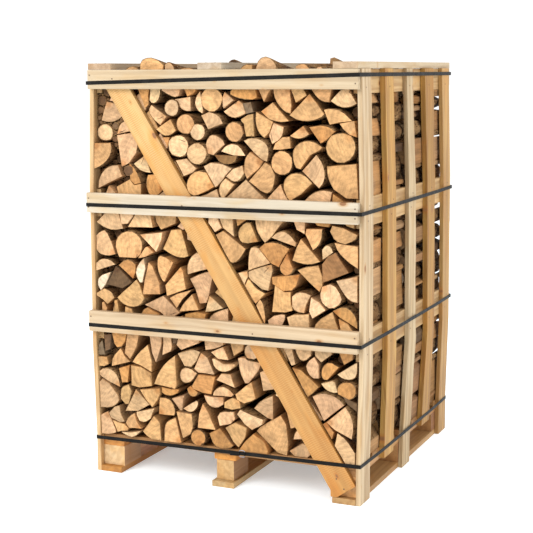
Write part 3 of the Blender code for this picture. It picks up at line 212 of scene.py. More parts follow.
MIDDLE_TIER = """
p 2,98.7 6.5,103.6 10.7,104.6 12.9,96.6 9,95.7~ 5.5,96.3~
c 11.3,105 18,105 17.6,101.5 15,98.6 12.4,98.4
p 15.2,97.4 19,103 20,105 24.8,105 26.2,97.7
t 25.2,105 35.6,105 34.8,99.4 28.5,96.7 26.5,99.5
p 5.6,96~ 7.6,91.6 9.3,86.5 6,85.4~ 2.5,86.3~ 0.8,89.5~ 1,93~ 3.2,95.2~
t 9.2,90.5~ 11,94.5~ 16,96.4~ 20.2,94.4~ 21.7,91~ 20.5,87~ 18,85.5 11,85.5 10.2,86.8~
c 20.4,94.7 30.2,96 29.6,93 27.2,88.4
t 19.2,85.5 22.3,89.8 23.5,90.2 26.2,88.2 22.5,86.2
t 29.2,89.4 32.8,96.8 37.2,97.2 40.2,87.2 38,86.2~ 33.5,86.8~
p 35.6,98.3 37.5,100.2 39.3,98.5 38,97
p 0.6,79.3 1,82.2~ 4,84.9~ 7.5,84.4~ 9.4,82.6
o 10.4,82.3 13.5,84.9~ 16.5,84.4~ 18,83 18,80 16.8,77.4
w 21.8,85.6 20,84~ 18.2,80.8~ 18.8,78~ 20.2,76.2 21.2,76.2 22.6,81.8
b 5.8,74.6 9.5,81.8 12,80.4 16.6,76 12.3,73.4
w 3.4,72 1.8,74.5~ 3,78~ 7.6,79.6 5.5,74.6
t 0.8,70.5 4.8,73~ 7.9,72~ 8.8,69.6 5.9,66.8 4.2,68.4
t 9.8,69.6 15.5,74.5 18.5,77.2 20.5,74.6 22.1,70.5~ 20.5,67.2~ 16,66~ 12,67.3~
t 24.2,84.3 25.8,83 28.7,76.5 28.8,72.2 21.2,71.6 22.2,77
t 28.3,87.4~ 31,86.6 34.5,84.7 30.6,77 29.6,77.4~ 27.7,81~ 27.4,84.5~
t 30.9,75.8 37.7,83.2 38.6,81.8 39.8,74.8 31.5,71.6
t 0.8,66.3 4.2,67.5 5.5,65.2 5,60.5 0.8,60.5
t 7.4,60.5 8.8,68.6 9.9,68.6 11.6,60.5
t 13.2,66.3 16,65.6 17.6,60.5 12.6,60.5
o 20.2,63.5~ 21.5,66~ 23.5,66.9~ 28,64.8 29,60.5 20.6,60.5
p 21.7,67.6 30,71.7 37.2,65.7 32.4,62.4 28.5,65.2
p 30.2,61.8 33.6,62.4 38.4,64.6 38.2,60.5 30.4,60.5
t 32.6,70.9 36,72.8 42,74.6 38.8,71.3~ 36.9,69~ 35.6,67.2
t 36.6,65.9 38.3,69.3~ 42.3,73 45.1,67.2
o 39,63 39.5,65.3 44,66.4 48.3,66 47.3,62.5 47,60.5 39,60.5
p 40.8,78.7 46,81.4~ 49.7,82 50.3,80.5 48.6,72.5 47.6,69.9 44.8,69.4 43,75
p 39.8,80.2 39.3,83~ 40.8,86.8~ 43.4,88.7 46.5,88 49.5,83 45,81.9
c 46.9,66.3 48.8,72.6 50.5,71.5 54.6,68.3 50,66.8
t 51.2,74.2 53.4,76.2 58.5,72 56.8,70
p 47.9,62.5 49.5,65.6~ 53,67.4~ 56.6,68.4 56.7,60.5 47.9,60.5
p 39.2,100.5 39.9,93.6 43,92.6 48,96 46.5,102
t 45.2,90.6 50,94.7 54.6,89.2 50.7,84.2 47.4,88.4
t 51,83.2 55,88.2 59.2,83.4 54.4,77.6
c 50,105 52.4,105 55.2,98.9 52.4,97.2 49.6,100.6
p 53,105 59.4,105 60,95.7 55.6,98.7
t 52.7,96.2 55.7,97.8 59.5,95.2 64.9,91.4 63,88~ 60.2,85.7~ 58,86.3~
t 64.8,101.6~ 66.7,101.4 69.9,94.4 64.2,93.2~ 62,95~ 61.8,98.5~
o 60.4,105 61.5,99.8 65,102.2 66,105
p 68.3,105 68.5,99.8~ 70,96.5~ 72.4,94 75.3,96.6 79.4,102 79,105
p 75.2,96.2 77.3,98.2~ 80,99.1~ 83,97.6~ 84.9,95 84.8,93.4 79.5,94.9
o 70.2,92 72.5,94 75.5,94.8~ 79,94.2~ 82.4,92.4 79.5,88.5 78,85.4 74.6,86.8
o 81.3,91 82.7,87.5 83.9,85 83.2,83.2~ 80.8,82.4~ 78.6,83.8~ 78.6,86.2~
p 66.5,92~ 68.3,92.7~ 70.3,92 74.8,86.8 70.5,85.3 65.9,83.6 65.7,87~
p 65.8,83.1 70.5,84.9 75,86.2 75.5,84 73.6,76.4 70.5,76.8~ 67,79.4~ 65.8,81.2
p 61.8,82.4 65.4,83.2 65.7,81.2 64.3,78.3
t 65.9,80.7 69,77.3~ 72.8,75.3 68.8,71.2 64.6,77.8
t 70.5,73.2 72,71.5~ 72.9,67~ 72.6,63.9 69,70.8
p 73.4,65.4 76,67.4 80.3,68.6~ 80.7,66.8~ 79.4,63.8~ 77.5,60.5 74.5,60.5
p 82.8,105 88.4,105 88.1,98 85,99.5
t 88.4,98 88.8,100 95,100.2 94.8,96~ 93.3,93.6~ 91.4,92.3
o 89,105 99,105 97.5,101 93,101.3
t 98.1,99.5 99,101.7 103,101 107.8,98.7 107,96.6~ 103.5,95.1~ 99.8,96.1~
t 100.5,105 107.8,105 107.8,100.5 104,101.7
t 99.7,95.6 107.8,94.7 107.8,86.6 104,89~ 101,92.2~
t 86.8,96.3 94.2,88.3 90.5,86.9~ 86.5,87.1~ 83.3,88.2 85,93
c 95,92.8 96.7,95~ 98.8,94~ 99.3,92 97,90.3 95.2,89.2
d 95,87.5 97.2,90.4 100.2,92.1 104.8,85 95.2,80.8
t 85.2,84.8 89,86.4~ 93.4,87 94.9,83 94.9,79.6 93.8,77.2 89.5,80.8
c 94.8,79.4~ 99.2,81.1~ 102.7,76~ 102,73.3~ 98.5,71.1~ 95,72.7~ 93.7,75.8~
c 100.4,81.8 107.6,83.8 107.6,74.3 105,74.6~ 102.5,77.6~
o 75.3,81.8 79,82.4 86.3,83.4 85,79 83.2,77.2 79.8,76.8 75.5,79.3
t 76.3,78.6 80,76.4 82.6,76.6 82.7,72 83.6,69.8 80.5,68.8 75,68.6
p 83.2,75~ 85.5,77~ 88.5,77~ 90.7,76 88.9,72.4 88,69.2 84.5,69.5~ 83,71.8~
c 90.8,75.2 94,73.6 96.4,70.9 91.3,67.5 90,70
p 81.3,67.2 84,68.4 87,68.6 90,69 90,60.5 83,60.5
t 91.3,63~ 92.6,66.5~ 98.8,70.4 101.9,62 101.8,60.5 91.2,60.5
o 98.9,70.7 102.8,73~ 106.3,71~ 107.6,67.5~ 107.6,64.8 104.4,66.8 101.5,68.5
t 101.2,68 104.4,66.4 106.5,63.5 106,60.5 102.3,60.5
t 59.2,68.2 57.3,60.5 66.4,60.5 68.6,66.5 63.5,70.6
t 58.8,72.6 55,77.2 60.6,82 63.8,78 67.8,71.4 62.8,71.2
"""
TOP_TIER = """
p 7.2,145.5 9,149.5 15,150.5 16.2,146.4 10.6,144.9
p 3.5,137.9 5.8,145.2 10.4,144.2 13,141.8~ 12.6,139.4~ 9.3,137.5~ 6.2,137.1~
c 5.2,133.4 3.4
t 1.4,119.2 1.4,129.3 8.4,129.5 9,127~ 7.6,123.2~ 4.6,120.6~
p 10,132.4 17.2,133.4 19.3,129.8~ 18.4,125.8~ 15,121.7~ 11.8,120.3
p 10.1,132.8 17.4,134.3 18,137~ 14.3,138.3~ 11.3,136.8~
c 17.2,121.6 22.2,125 24.5,118.3 21.5,118.4~ 19,119.6~
p 2.8,111.8 13,116.8 11.2,121 8,121~ 5,119~ 3,115.5~
p 5.6,109.2 7.4,113.1 10.2,110.2 9.5,105.5 6,105
t 9.3,112.4 15.3,115.6 17.2,113.4 20.2,114 20.2,107.5 11,106
o 15.1,121.7 17.8,119.6~ 19.8,115.8~ 20.1,114.2 17.3,113.6 15.4,115.4
o 23.2,117.5 27,117.7 30.4,112.5 27.5,110 24,109.3~ 22.4,112.5~ 22.4,115.5~
p 28,110 30.8,112 33.5,109 32,105.5 28.4,105.5
o 20,151 25.6,151 24.9,147.5 25.3,144.3 23.7,142.8
c 25.7,151.2 29.9,151 30.2,148~ 29,145.2~ 26.5,144.3~ 25.2,146~
p 26.2,144.1 32.6,139.8 30,136.6 26.7,138.8~ 24.8,142~
p 30.6,149.6 32,151.2 39,151.2 38,147.4 36.3,146.8~ 33.2,148~
t 28.3,135 34.3,138.8 36.6,134.5 34.5,132.6~ 31.3,132.4~
c 35,143 3.2
c 35.4,146.2 42.5,147.2 42.6,141.9 40.5,141.7~ 38.2,142.8~ 37,145~
c 37.5,128.8 4.3
o 31.2,132 34,132.1 33,128.2
p 36,123.4 40.6,124.2 44.7,120.6 43.5,119.2 39.3,117.6
t 40.6,137.1 3.8
c 45.8,134.2 3.2
p 45.2,126.2 4.2
t 41.5,117.5~ 45,120.2~ 49,119.2~ 52.3,114.2 47,111~ 43,110.2~ 40.4,113~
o 39.8,151 46.3,151 44,148.3 41.5,147.2
c 44.2,144.5~ 45,147.5~ 46.7,149.4~ 47.3,146 48,143 47.6,141 45.6,142~
t 51.4,146.3 4.6
p 47.1,140.3 50.5,141.7~ 54.5,140.6~ 56,137.5 49.8,135.2
p 52,133.7~ 55.8,131.8~ 56.6,129.8 51.8,125.7 49.4,126.3~ 48.6,129.5~ 49.6,132.5~
c 55,127.2 57,129.5~ 60,130.4~ 63,129.3~ 65,125.8 60,125.8
d 52.3,125.8 61.5,125.6 61.2,123.8~ 58.5,122.2~ 54.5,122.8~
c 47.5,121.4 50.5,122.9 55.6,122.5 59.3,120.9 56.6,118.2 55.2,115.9 52.3,113.6
c 56.9,118.2 59.7,120.8 63.8,122.2 64.6,119.4~ 63,116.7~ 60.2,115.8~
p 54.1,113~ 55,115.8~ 57,117.3 60.6,115.2 55.7,109.3 54.6,110.8~
p 56.6,109.8 64.9,117.1 72.7,110 72.2,105.5 57,105.5
o 58.5,148.5~ 60.8,151 69,151 69.9,147 68,146.2 64.4,146.2~ 60.6,147.3~
p 56.8,149 60.4,146 56.5,143 55.9,144~ 55.8,146.6~
p 56.2,141.8 62.3,145.9 64,144.6 65.2,141.2 62.7,139.8~ 60,139.3~ 57.4,140.5~
g 64,144.9 67.4,145.4 68.4,141.7 65.5,141.1
t 60.7,134.4 3.8
t 62.9,138.9 66,140.7 68.2,141.1 68.5,132.9 65.2,132.8 64.6,135.5 64.4,137.4
t 69.2,141.9 76,138.3 74.5,134.5 72.3,132.4 70,134.2~ 68.7,138~
p 64.2,131.3 66.5,132.4~ 70.2,132.4~ 73.4,130.7~ 74.6,127.5~ 73.5,123.8 71.5,124.4 68.5,126.8
t 67,127.3 72,124 70.7,121.5 65.6,117.3 64.5,119.8~ 64.5,123~ 65.2,125.5~
t 66,116.5 72.5,123.6 75,122.3~ 76.7,119~ 76.3,114.5~ 74,111.8~ 71,113
t 69.6,151 75.6,151 72.4,145.4
t 71.3,142 75.9,145.3 82.2,138.6 78.5,138~ 74.5,139.2~
t 76,151 82.3,151 83.2,144 82.8,141.2 80.5,141.8~ 77.5,144.7~ 76.1,148~
t 82.6,151 87.2,151 89.2,147.8 84.9,145.2
t 90.3,148.4 96,141.2 95,140~ 91,138.5~ 86,138.7~ 82.5,140.7
t 90.2,151 98.8,151 97.7,145.4 95.5,145.4~ 92.8,147~
p 98,145.8 101.8,149.8 104.7,150.3 107.6,144.9 105,143.4~ 101.5,143.5~
t 95.6,142.8 98,143.4~ 102.5,142.6~ 106,138.9 101.3,138.3 97.8,137.5
t 101.3,138 106.7,139 107.6,133 105.3,133.7~ 102.8,135.6~
t 102,129.4 5.5
o 90,136.6 96,137.7~ 100.2,135.3 97.5,132.6 94.5,130.8
t 82.5,133.3 87.6,136.9 89.9,134 88,132.5~ 85,132.1~
p 76.3,137.9 80.3,136.4 80.1,133.8~ 78.5,131.8 75.6,130.3 74.4,133.3
t 76,128.3 77,130.8~ 79.5,132.8~ 82.5,133 83,128.9 79,128.3
t 79.4,123.6 4.45
t 83.5,126~ 84,129~ 87,131.6~ 91.5,131.9~ 95.7,129.3 90.5,126.6 86.6,121.4 84.5,121.8~
p 92.5,127.2 95.4,124~ 96.5,120~ 95.8,116.6~ 94,114.8 91.3,117.2 87,121.2
t 79.8,115.5~ 80.7,118.3~ 84,120.4~ 88.5,119.6~ 91.3,116.6 87,112.5 82.5,109.8 80.6,112~
p 73.6,110.5 78.8,115.8 80,112.8 82.2,109.6 81,105.5 74,105.5
p 88,110 91,113~ 95,114.5~ 98.7,113.7 97.8,108.5 96.5,105.5 89,105.5
t 96.8,122.7 107.3,123.8 107.8,110.4 104,110.6~ 99.5,114.2~ 97,118.5~
p 15.2,138.4 17,145.8 20.2,148.5 23.2,142.8 19.8,138
t 19.2,137.4 24.4,142 28,135.6 25,130.5 20.4,130.6
p 21,129.9 25.6,129.8 29,133.6 32.3,128.4 29,124.4 22.8,126
t 25.4,119.2 23.9,123.6 29.2,123.8 35,122.8 38.4,117.2 34.5,114.5
t 31,113 34.3,113.9 39.6,113.2 41,109.4 38,105.5 33.8,105.5
p 42.3,109.6 47,110.4~ 53.2,113.2 54.5,109 53.2,105.5 42,105.5
o 99,113 102.8,110.4 107.8,109.8 107.8,105.5 98.4,105.5
o 21,108.8 25.6,108.6 27.6,105.5 21,105.5
p 0.8,117.6 2.2,115.4 2.2,108 5,105.5 0.8,105.5
"""
TOP_COURSE = """
t 14.6,157~ 17.5,158.8~ 21,158~ 22,154 20,151.5 15,151.5
t 21.6,156 21.7,160.6~ 25.5,162~ 29.5,161~ 31.8,158.9 30,151.5 22.5,151.5
p 32,151.5 32,159 33.5,160.4~ 35.6,159~ 36.4,157~ 36,151.5
t 37,151.5 37.5,157.2~ 41,158.2~ 45,157.3~ 45.5,151.5
t 46,151.5 46.5,156.5~ 50,157.2~ 54.5,156.8~ 55.5,151.5
t 62.3,151.5 62.6,157~ 65,159.2~ 67.8,158.8 68,151.5
p 68.8,154 69.3,159.4~ 72,162~ 75.8,160.9~ 77.9,157.5~ 77,151.5 69.5,151.5
o 78.2,151.5 78.6,156~ 81.5,157.4~ 84.6,156.2~ 84.8,151.5
t 85,158.2 86.8,159.1~ 89,159.1~ 90.3,157.3 89.8,151.5 85.2,151.5
p 91.8,151.5 91.6,156.4~ 93.8,158.7~ 96,156.8~ 96.4,151.5
t 97,151.5 97.2,156.3~ 100.5,156.9~ 103.4,156.2 103.6,151.5
o 56,151.5 56.3,156.4~ 59,157.3~ 61.8,156.3~ 62,151.5
p 2.2,151.5 2.4,156~ 6,157~ 10.2,156.4~ 13.8,151.5
p 104,151.5 104.2,156.4~ 107.6,156.6 107.8,151.5
"""
# The tiers with the height that each one starts from, in metres, and the order they take in each row
TIERS = {"bottom": (BOTTOM_TIER, 0.147), "middle": (MIDDLE_TIER, 0.605), "top": (TOP_TIER, 1.055)}
TIER_SLOTS = (0.147, 0.605, 1.055)
ROW_TIERS = {
    "front": ("bottom", "middle", "top"),
    "second": ("middle", "top", "bottom"),
    "third": ("bottom", "middle", "top"),
    "back": ("top", "bottom", "middle"),
}
MIRRORED_ROWS = ("third",)
TOP_COURSE_SHARE = {"front": 1.0, "second": 0.55, "third": 0.60, "back": 0.75}
RAISED_LOGS = {
    "second": "t 86.8,151.5 87.6,161.1 89.2,161.5 92.4,160.1~ 93,151.5",
    "third": "b 31.7,151.5 32.2,160~ 34.5,161.5~ 36.8,160.9~ 38.4,159~ 39,151.5",
}
# Logs that reach above this height slope down towards their back ends, by the whole fall where they are
# this far above the top course's foot; a raised log replaces the logs that start no lower than this under it
RAISED_HEIGHT = 1.598
RAISED_FALL = 0.042
RAISED_FULL = 0.1
RAISED_CLEARANCE = 0.01

# Wood tints of the log ends, how far single logs stray from them, and the painted shade of the rows behind the
# front
TINTS = {
    "t": (0.510, 0.287, 0.122),
    "p": (0.530, 0.322, 0.168),
    "c": (0.582, 0.378, 0.204),
    "w": (0.640, 0.495, 0.330),
    "o": (0.432, 0.210, 0.070),
    "g": (0.170, 0.108, 0.062),
    "d": (0.265, 0.131, 0.049),
    "b": (0.123, 0.067, 0.032),
}
TINT_SPREAD = 0.13
CHANNEL_SPREAD = 0.03
# Painted shade: the tints of all rows behind the front one are darkened by this factor, for the shade deep in
# the stack
ROWS_BEHIND_PAINTED_SHADE = 0.66

# Colours of the logs' finishes; the first two multiply the log's own tint
HEART_WOOD = (0.80, 0.60, 0.42, 1.0)
SPLIT_WOOD = (0.92, 0.82, 0.70, 1.0)
CRACK_BROWN = (0.085, 0.045, 0.022, 1.0)
WEATHERED_WOOD = (0.30, 0.215, 0.135, 1.0)
BARK_FURROW = (0.050, 0.022, 0.008, 1.0)
BARK_BROWN = (0.145, 0.070, 0.026, 1.0)
BARK_GREY = (0.265, 0.155, 0.068, 1.0)

# Colours of the boards' finishes; all but the knots' multiply the board's own tint
RESIN_WOOD = (0.98, 0.77, 0.45, 1.0)
LATE_WOOD = (0.80, 0.60, 0.38, 1.0)
SAW_MARK_WOOD = (0.88, 0.62, 0.30, 1.0)
KNOT_RING_WOOD = (0.86, 0.58, 0.30, 1.0)
KNOT_BROWN = (0.235, 0.100, 0.032, 1.0)

# Colours of the strap and the metals, from dark to light
STRAP_BLACKS = ((0.008, 0.007, 0.006, 1.0), (0.022, 0.020, 0.018, 1.0))
ZINC_GREYS = ((0.24, 0.24, 0.26, 1.0), (0.44, 0.44, 0.46, 1.0))
NAIL_BROWNS = ((0.075, 0.060, 0.050, 1.0), (0.190, 0.110, 0.060, 1.0))

# The boards' tints, and single boards that differ from their kind
RAIL_TINT = (0.472, 0.396, 0.292)
BRACE_TINT = (0.560, 0.352, 0.138)
BRACE_FOOT_TINT = (0.460, 0.232, 0.060)
POST_TINT = (0.480, 0.306, 0.136)
PALLET_TINT = (0.400, 0.205, 0.070)
BOARD_TINTS = {
    "front_rail_bottom": (0.476, 0.350, 0.216),
    "front_rail_top": (0.478, 0.368, 0.232),
    "side_post_left_1": (0.538, 0.353, 0.170),
    "side_post_right_1": (0.540, 0.400, 0.240),
    "side_post_right_2": (0.450, 0.246, 0.058),
    "side_post_right_3": (0.495, 0.368, 0.210),
    "side_post_right_4": (0.366, 0.187, 0.035),
    "side_post_right_5": (0.458, 0.262, 0.082),
    "cap_board_left": (0.420, 0.309, 0.194),
    "cap_board_middle": (0.440, 0.371, 0.270),
    "cap_board_right": (0.485, 0.371, 0.234),
    "pallet_block_left_front": (0.620, 0.435, 0.240),
    "pallet_block_middle_front": (0.500, 0.310, 0.130),
    "pallet_block_right_front": (0.630, 0.355, 0.140),
    "pallet_stringer_left": (0.560, 0.235, 0.045),
    "pallet_stringer_middle": (0.600, 0.255, 0.045),
    "pallet_runner_left": (0.430, 0.190, 0.036),
    "pallet_runner_middle": (0.470, 0.320, 0.150),
    "pallet_runner_right": (0.400, 0.230, 0.085),
}
BOARD_TINT_SPREAD = 0.05
# Faces darker than the rest of their board: painted shade on the pallet blocks' sides, and darker ends on the
# cap boards; which way they look, and what is left of the tint
PAINTED_SHADE_AND_DARK_END_FACES = {"pallet_block": (0, (0.63, 0.53, 0.52)), "cap_board": (1, (0.86, 0.78, 0.74))}
FACING = 0.9
MERGE_DISTANCE = 0.00002
BOARD_EDGE = 0.0011
BOARD_PIECE = 0.09
SAW_WANDER = 0.0009
# Boards whose edge follows the tree's round: from and to which share of the length, and the wane's depth
WANES = {
    "side_post_right_3": (0.0, 0.55, 0.010),
    "side_post_right_4": (0.0, 1.0, 0.008),
    "side_post_left_3": (0.3, 0.9, 0.009),
    "cap_board_right": (0.55, 1.0, 0.010),
    "cap_board_middle": (0.0, 0.3, 0.006),
}
WANE_FADE = 0.08
WANE_STRENGTH = 1.6

# Nails: head radius and sides, and how proud they stand
NAIL_HEAD = 0.0030
NAIL_SIDES = 10
NAIL_PROUD = 0.0005
# Places of the nails: from a board's ends in metres, or as shares of its width and height
RAIL_NAIL_INSETS = (0.009, 0.010)
RAIL_NAIL_SHARES = (0.28, 0.72)
POST_NAIL_SHARES = ((0.42, 0.25), (0.58, 0.75))
CAP_NAIL_INSET = 0.012
CAP_NAIL_SHARES = (0.3, 0.7)
BRACE_FOOT_NAILS = ((1.008, 0.092), (1.037, 0.057))
# The brace's nails in each rail: from its edge, then aside and up by these
BRACE_NAIL_INSET = 0.04
BRACE_NAIL_SHIFTS = (-0.016, 0.014)
BRACE_NAIL_HEIGHT = 0.45
BRACE_NAIL_CLIMB = 6

# The buckle's wire, the strap folded round it, and the strap's loose end
BUCKLE_WIRE = 0.0030
WIRE_SIDES = 10
BUCKLE_LOOP = (0.0258, 0.0278)
BUCKLE_BEND = 0.24
BEND_STEPS = 4
STRAP_FOLD = 0.0021
STRAP_FOLD_WIDTH = 0.016
FOLD_SIDES = 14
FOLD_FORWARD = 0.0004
STRAP_TAIL = (0.038, 0.0010, 0.0135)
STRAP_TAIL_TURN = -0.05
STRAP_TAIL_DROP = 0.004

# The floor, and the lights as name, place, size and power
FLOOR_SIZE = 16.0
FLOOR_DROP = 0.0006
FLOOR_WHITE = (0.90, 0.965, 1.0, 1.0)
FLOOR_GLOW = 0.34
WORLD_LIGHT = 1.12
SOFTBOXES = (("key_softbox", (-1.6, -4.6, 3.6), 2.2, 170), ("side_softbox", (4.6, -0.6, 2.6), 2.0, 70))
LIGHT_TARGET = (0, 0, 0.8)


# Camera, floor and light


def link(name, data):
    """Put a new object in the scene."""
    made = bpy.data.objects.new(name, data)
    bpy.context.scene.collection.objects.link(made)
    return made


def mesh_object(name, bm, materials):
    """Turn a bmesh into an object with its materials."""
    mesh = bpy.data.meshes.new(name)
    bm.to_mesh(mesh)
    bm.free()
    for material in materials:
        mesh.materials.append(material)
    return link(name, mesh)


def add_camera():
    """The camera at the photograph's angle."""
    yaw, pitch, roll = (math.radians(angle) for angle in (CAMERA_YAW, CAMERA_PITCH, CAMERA_ROLL))
    level = Vector((-math.sin(yaw), math.cos(yaw), 0.0))
    right = Vector((math.cos(yaw), math.sin(yaw), 0.0))
    forward = level * math.cos(pitch) - Vector((0, 0, math.sin(pitch)))
    up = level * math.sin(pitch) + Vector((0, 0, math.cos(pitch)))
    rolled_right = right * math.cos(roll) + up * math.sin(roll)
    rolled_up = up * math.cos(roll) - right * math.sin(roll)
    data = bpy.data.cameras.new("photo_camera")
    data.sensor_width = SENSOR
    data.lens = LENS
    data.shift_y = SHIFT_Y
    data.clip_end = CAMERA_REACH
    camera = link("photo_camera", data)
    turn = Matrix((rolled_right, rolled_up, -forward)).transposed()
    camera.matrix_world = Matrix.Translation(CAMERA_PLACE) @ turn.to_4x4()
    bpy.context.scene.camera = camera


def add_softbox(name, place, size, power):
    """A square softbox that faces the crate's middle."""
    data = bpy.data.lights.new(name, "AREA")
    data.size = size
    data.energy = power
    light = link(name, data)
    light.location = place
    light.rotation_euler = (Vector(LIGHT_TARGET) - Vector(place)).to_track_quat("-Z", "Y").to_euler()


def add_studio():
    """A pale floor, an even white surround and two softboxes."""
    shade = Shading("studio_floor")
    material = shade.finish({"Base Color": FLOOR_WHITE, "Roughness": 0.9,
                             "Emission Color": FLOOR_WHITE, "Emission Strength": FLOOR_GLOW})
    bm = bmesh.new()
    bmesh.ops.create_grid(bm, x_segments=1, y_segments=1, size=FLOOR_SIZE / 2)
    bmesh.ops.translate(bm, vec=(0, 0, -FLOOR_DROP), verts=bm.verts)
    mesh_object("studio_floor", bm, [material])
    world = bpy.data.worlds.new("studio")
    world.use_nodes = True
    background = world.node_tree.nodes["Background"]
    background.inputs["Color"].default_value = (1.0, 1.0, 1.0, 1.0)
    background.inputs["Strength"].default_value = WORLD_LIGHT
    bpy.context.scene.world = world
    bpy.context.scene.view_settings.view_transform = "Standard"
    for softbox in SOFTBOXES:
        add_softbox(*softbox)


# Materials


class Shading:
    """A material's node tree, with short ways to add the nodes that the finishes share."""

    def __init__(self, name):
        self.material = bpy.data.materials.new(name)
        self.material.use_nodes = True
        self.tree = self.material.node_tree

    def feed(self, socket, value):
        """Link an output to a socket, or set the socket's own value."""
        if isinstance(value, bpy.types.NodeSocket):
            self.tree.links.new(value, socket)
        else:
            socket.default_value = value

    def node(self, kind, sockets, **settings):
        """Add a node, set it up, and feed its sockets by name or number."""
        added = self.tree.nodes.new(kind)
        for key, value in settings.items():
            setattr(added, key, value)
        for key, value in sockets.items():
            self.feed(added.inputs[key], value)
        return added

    def finish(self, sockets):
        """Feed the shader's sockets by name, and give the finished material."""
        for key, value in sockets.items():
            self.feed(self.tree.nodes["Principled BSDF"].inputs[key], value)
        return self.material

    def attribute(self, name, output):
        return self.node("ShaderNodeAttribute", {}, attribute_name=name).outputs[output]

    def object_place(self):
        return self.node("ShaderNodeTexCoord", {}).outputs["Object"]

    def maths(self, operation, first, second=0.0):
        return self.node("ShaderNodeMath", {0: first, 1: second}, operation=operation).outputs[0]

    def times(self, first, second):
        return self.maths("MULTIPLY", first, second)

    def plus(self, first, second):
        return self.maths("ADD", first, second)

    def vector(self, operation, first, second):
        return self.node("ShaderNodeVectorMath", {0: first, 1: second}, operation=operation).outputs["Vector"]

    def length(self, place):
        return self.node("ShaderNodeVectorMath", {0: place}, operation="LENGTH").outputs["Value"]

    def axes(self, place):
        return self.node("ShaderNodeSeparateXYZ", {"Vector": place}).outputs

    def stretched(self, place, scale):
        """A place scaled along each axis, so that a pattern runs with the fibres."""
        return self.vector("MULTIPLY", place, scale)

    def noise(self, place, scale, detail, roughness=0.55, distortion=0.0):
        sockets = {"Vector": place, "Scale": scale, "Detail": detail,
                   "Roughness": roughness, "Distortion": distortion}
        return self.node("ShaderNodeTexNoise", sockets).outputs["Fac"]

    def streaks(self, place, scale, detail=2.0, roughness=0.55, distortion=0.0):
        """Noise with its own scale along each axis."""
        return self.noise(self.stretched(place, scale), 1.0, detail, roughness, distortion)

    def between(self, value, low, high, new_low=0.0, new_high=1.0):
        """A value's range mapped onto another, smoothly and held at its ends."""
        sockets = {"Value": value, "From Min": low, "From Max": high, "To Min": new_low, "To Max": new_high}
        return self.node("ShaderNodeMapRange", sockets, interpolation_type="SMOOTHSTEP").outputs["Result"]

    def mix(self, share, first, second, blend="MIX"):
        sockets = {0: share, 6: first, 7: second}
        return self.node("ShaderNodeMix", sockets, data_type="RGBA", blend_type=blend).outputs[2]

    def tinted(self, colour, share):
        """A colour with a share of each channel left."""
        return self.mix(1.0, colour, share, "MULTIPLY")

    def brightness(self, colour, value):
        """A colour made lighter or darker by a value round one."""
        sockets = {0: colour, "Scale": value}
        return self.node("ShaderNodeVectorMath", sockets, operation="SCALE").outputs["Vector"]

    def bump(self, height, depth):
        sockets = {"Strength": 1.0, "Distance": depth, "Height": height}
        return self.node("ShaderNodeBump", sockets).outputs["Normal"]

    def turned(self, flat, attribute):
        """A place on a log's end, turned by the angle in one of the log's attributes."""
        sockets = {"Vector": flat, "Angle": self.attribute(attribute, "Fac")}
        return self.node("ShaderNodeVectorRotate", sockets, rotation_type="Y_AXIS").outputs["Vector"]

    def cracks(self, flat):
        """A narrow crack from the pith outwards, on the logs that have one."""
        place = self.axes(self.turned(flat, "log_crack"))
        sway = self.times(self.maths("SUBTRACT", self.noise(flat, 90.0, 2.0), 0.5), 0.006)
        off_line = self.maths("ABSOLUTE", self.plus(place["Z"], sway))
        narrow = self.between(off_line, 0.0006, 0.0019, 1.0, 0.0)
        starts = self.between(place["X"], 0.002, 0.008)
        ends = self.between(place["X"], 0.022, 0.040, 1.0, 0.0)
        has_crack = self.between(self.attribute("log_crack", "Fac"), 0.01, 0.02)
        return self.times(self.times(narrow, self.times(starts, ends)), has_crack)

    def knots(self, grain):
        """Scattered knots: their dark middles, and the warmer wood round them."""
        sockets = {"Vector": self.stretched(grain, (5.0, 9.0, 1.0)), "Scale": 1.0, "Randomness": 1.0}
        cells = self.node("ShaderNodeTexVoronoi", sockets, feature="F1", voronoi_dimensions="2D")
        chance = self.node("ShaderNodeSeparateColor", {"Color": cells.outputs["Color"]}).outputs["Red"]
        size = self.between(chance, 0.66, 1.0, 0.0, 0.075)
        inner = self.maths("SUBTRACT", size, cells.outputs["Distance"])
        return self.between(inner, 0.0, 0.025), self.between(inner, -0.07, 0.02, 0.0, 0.75)


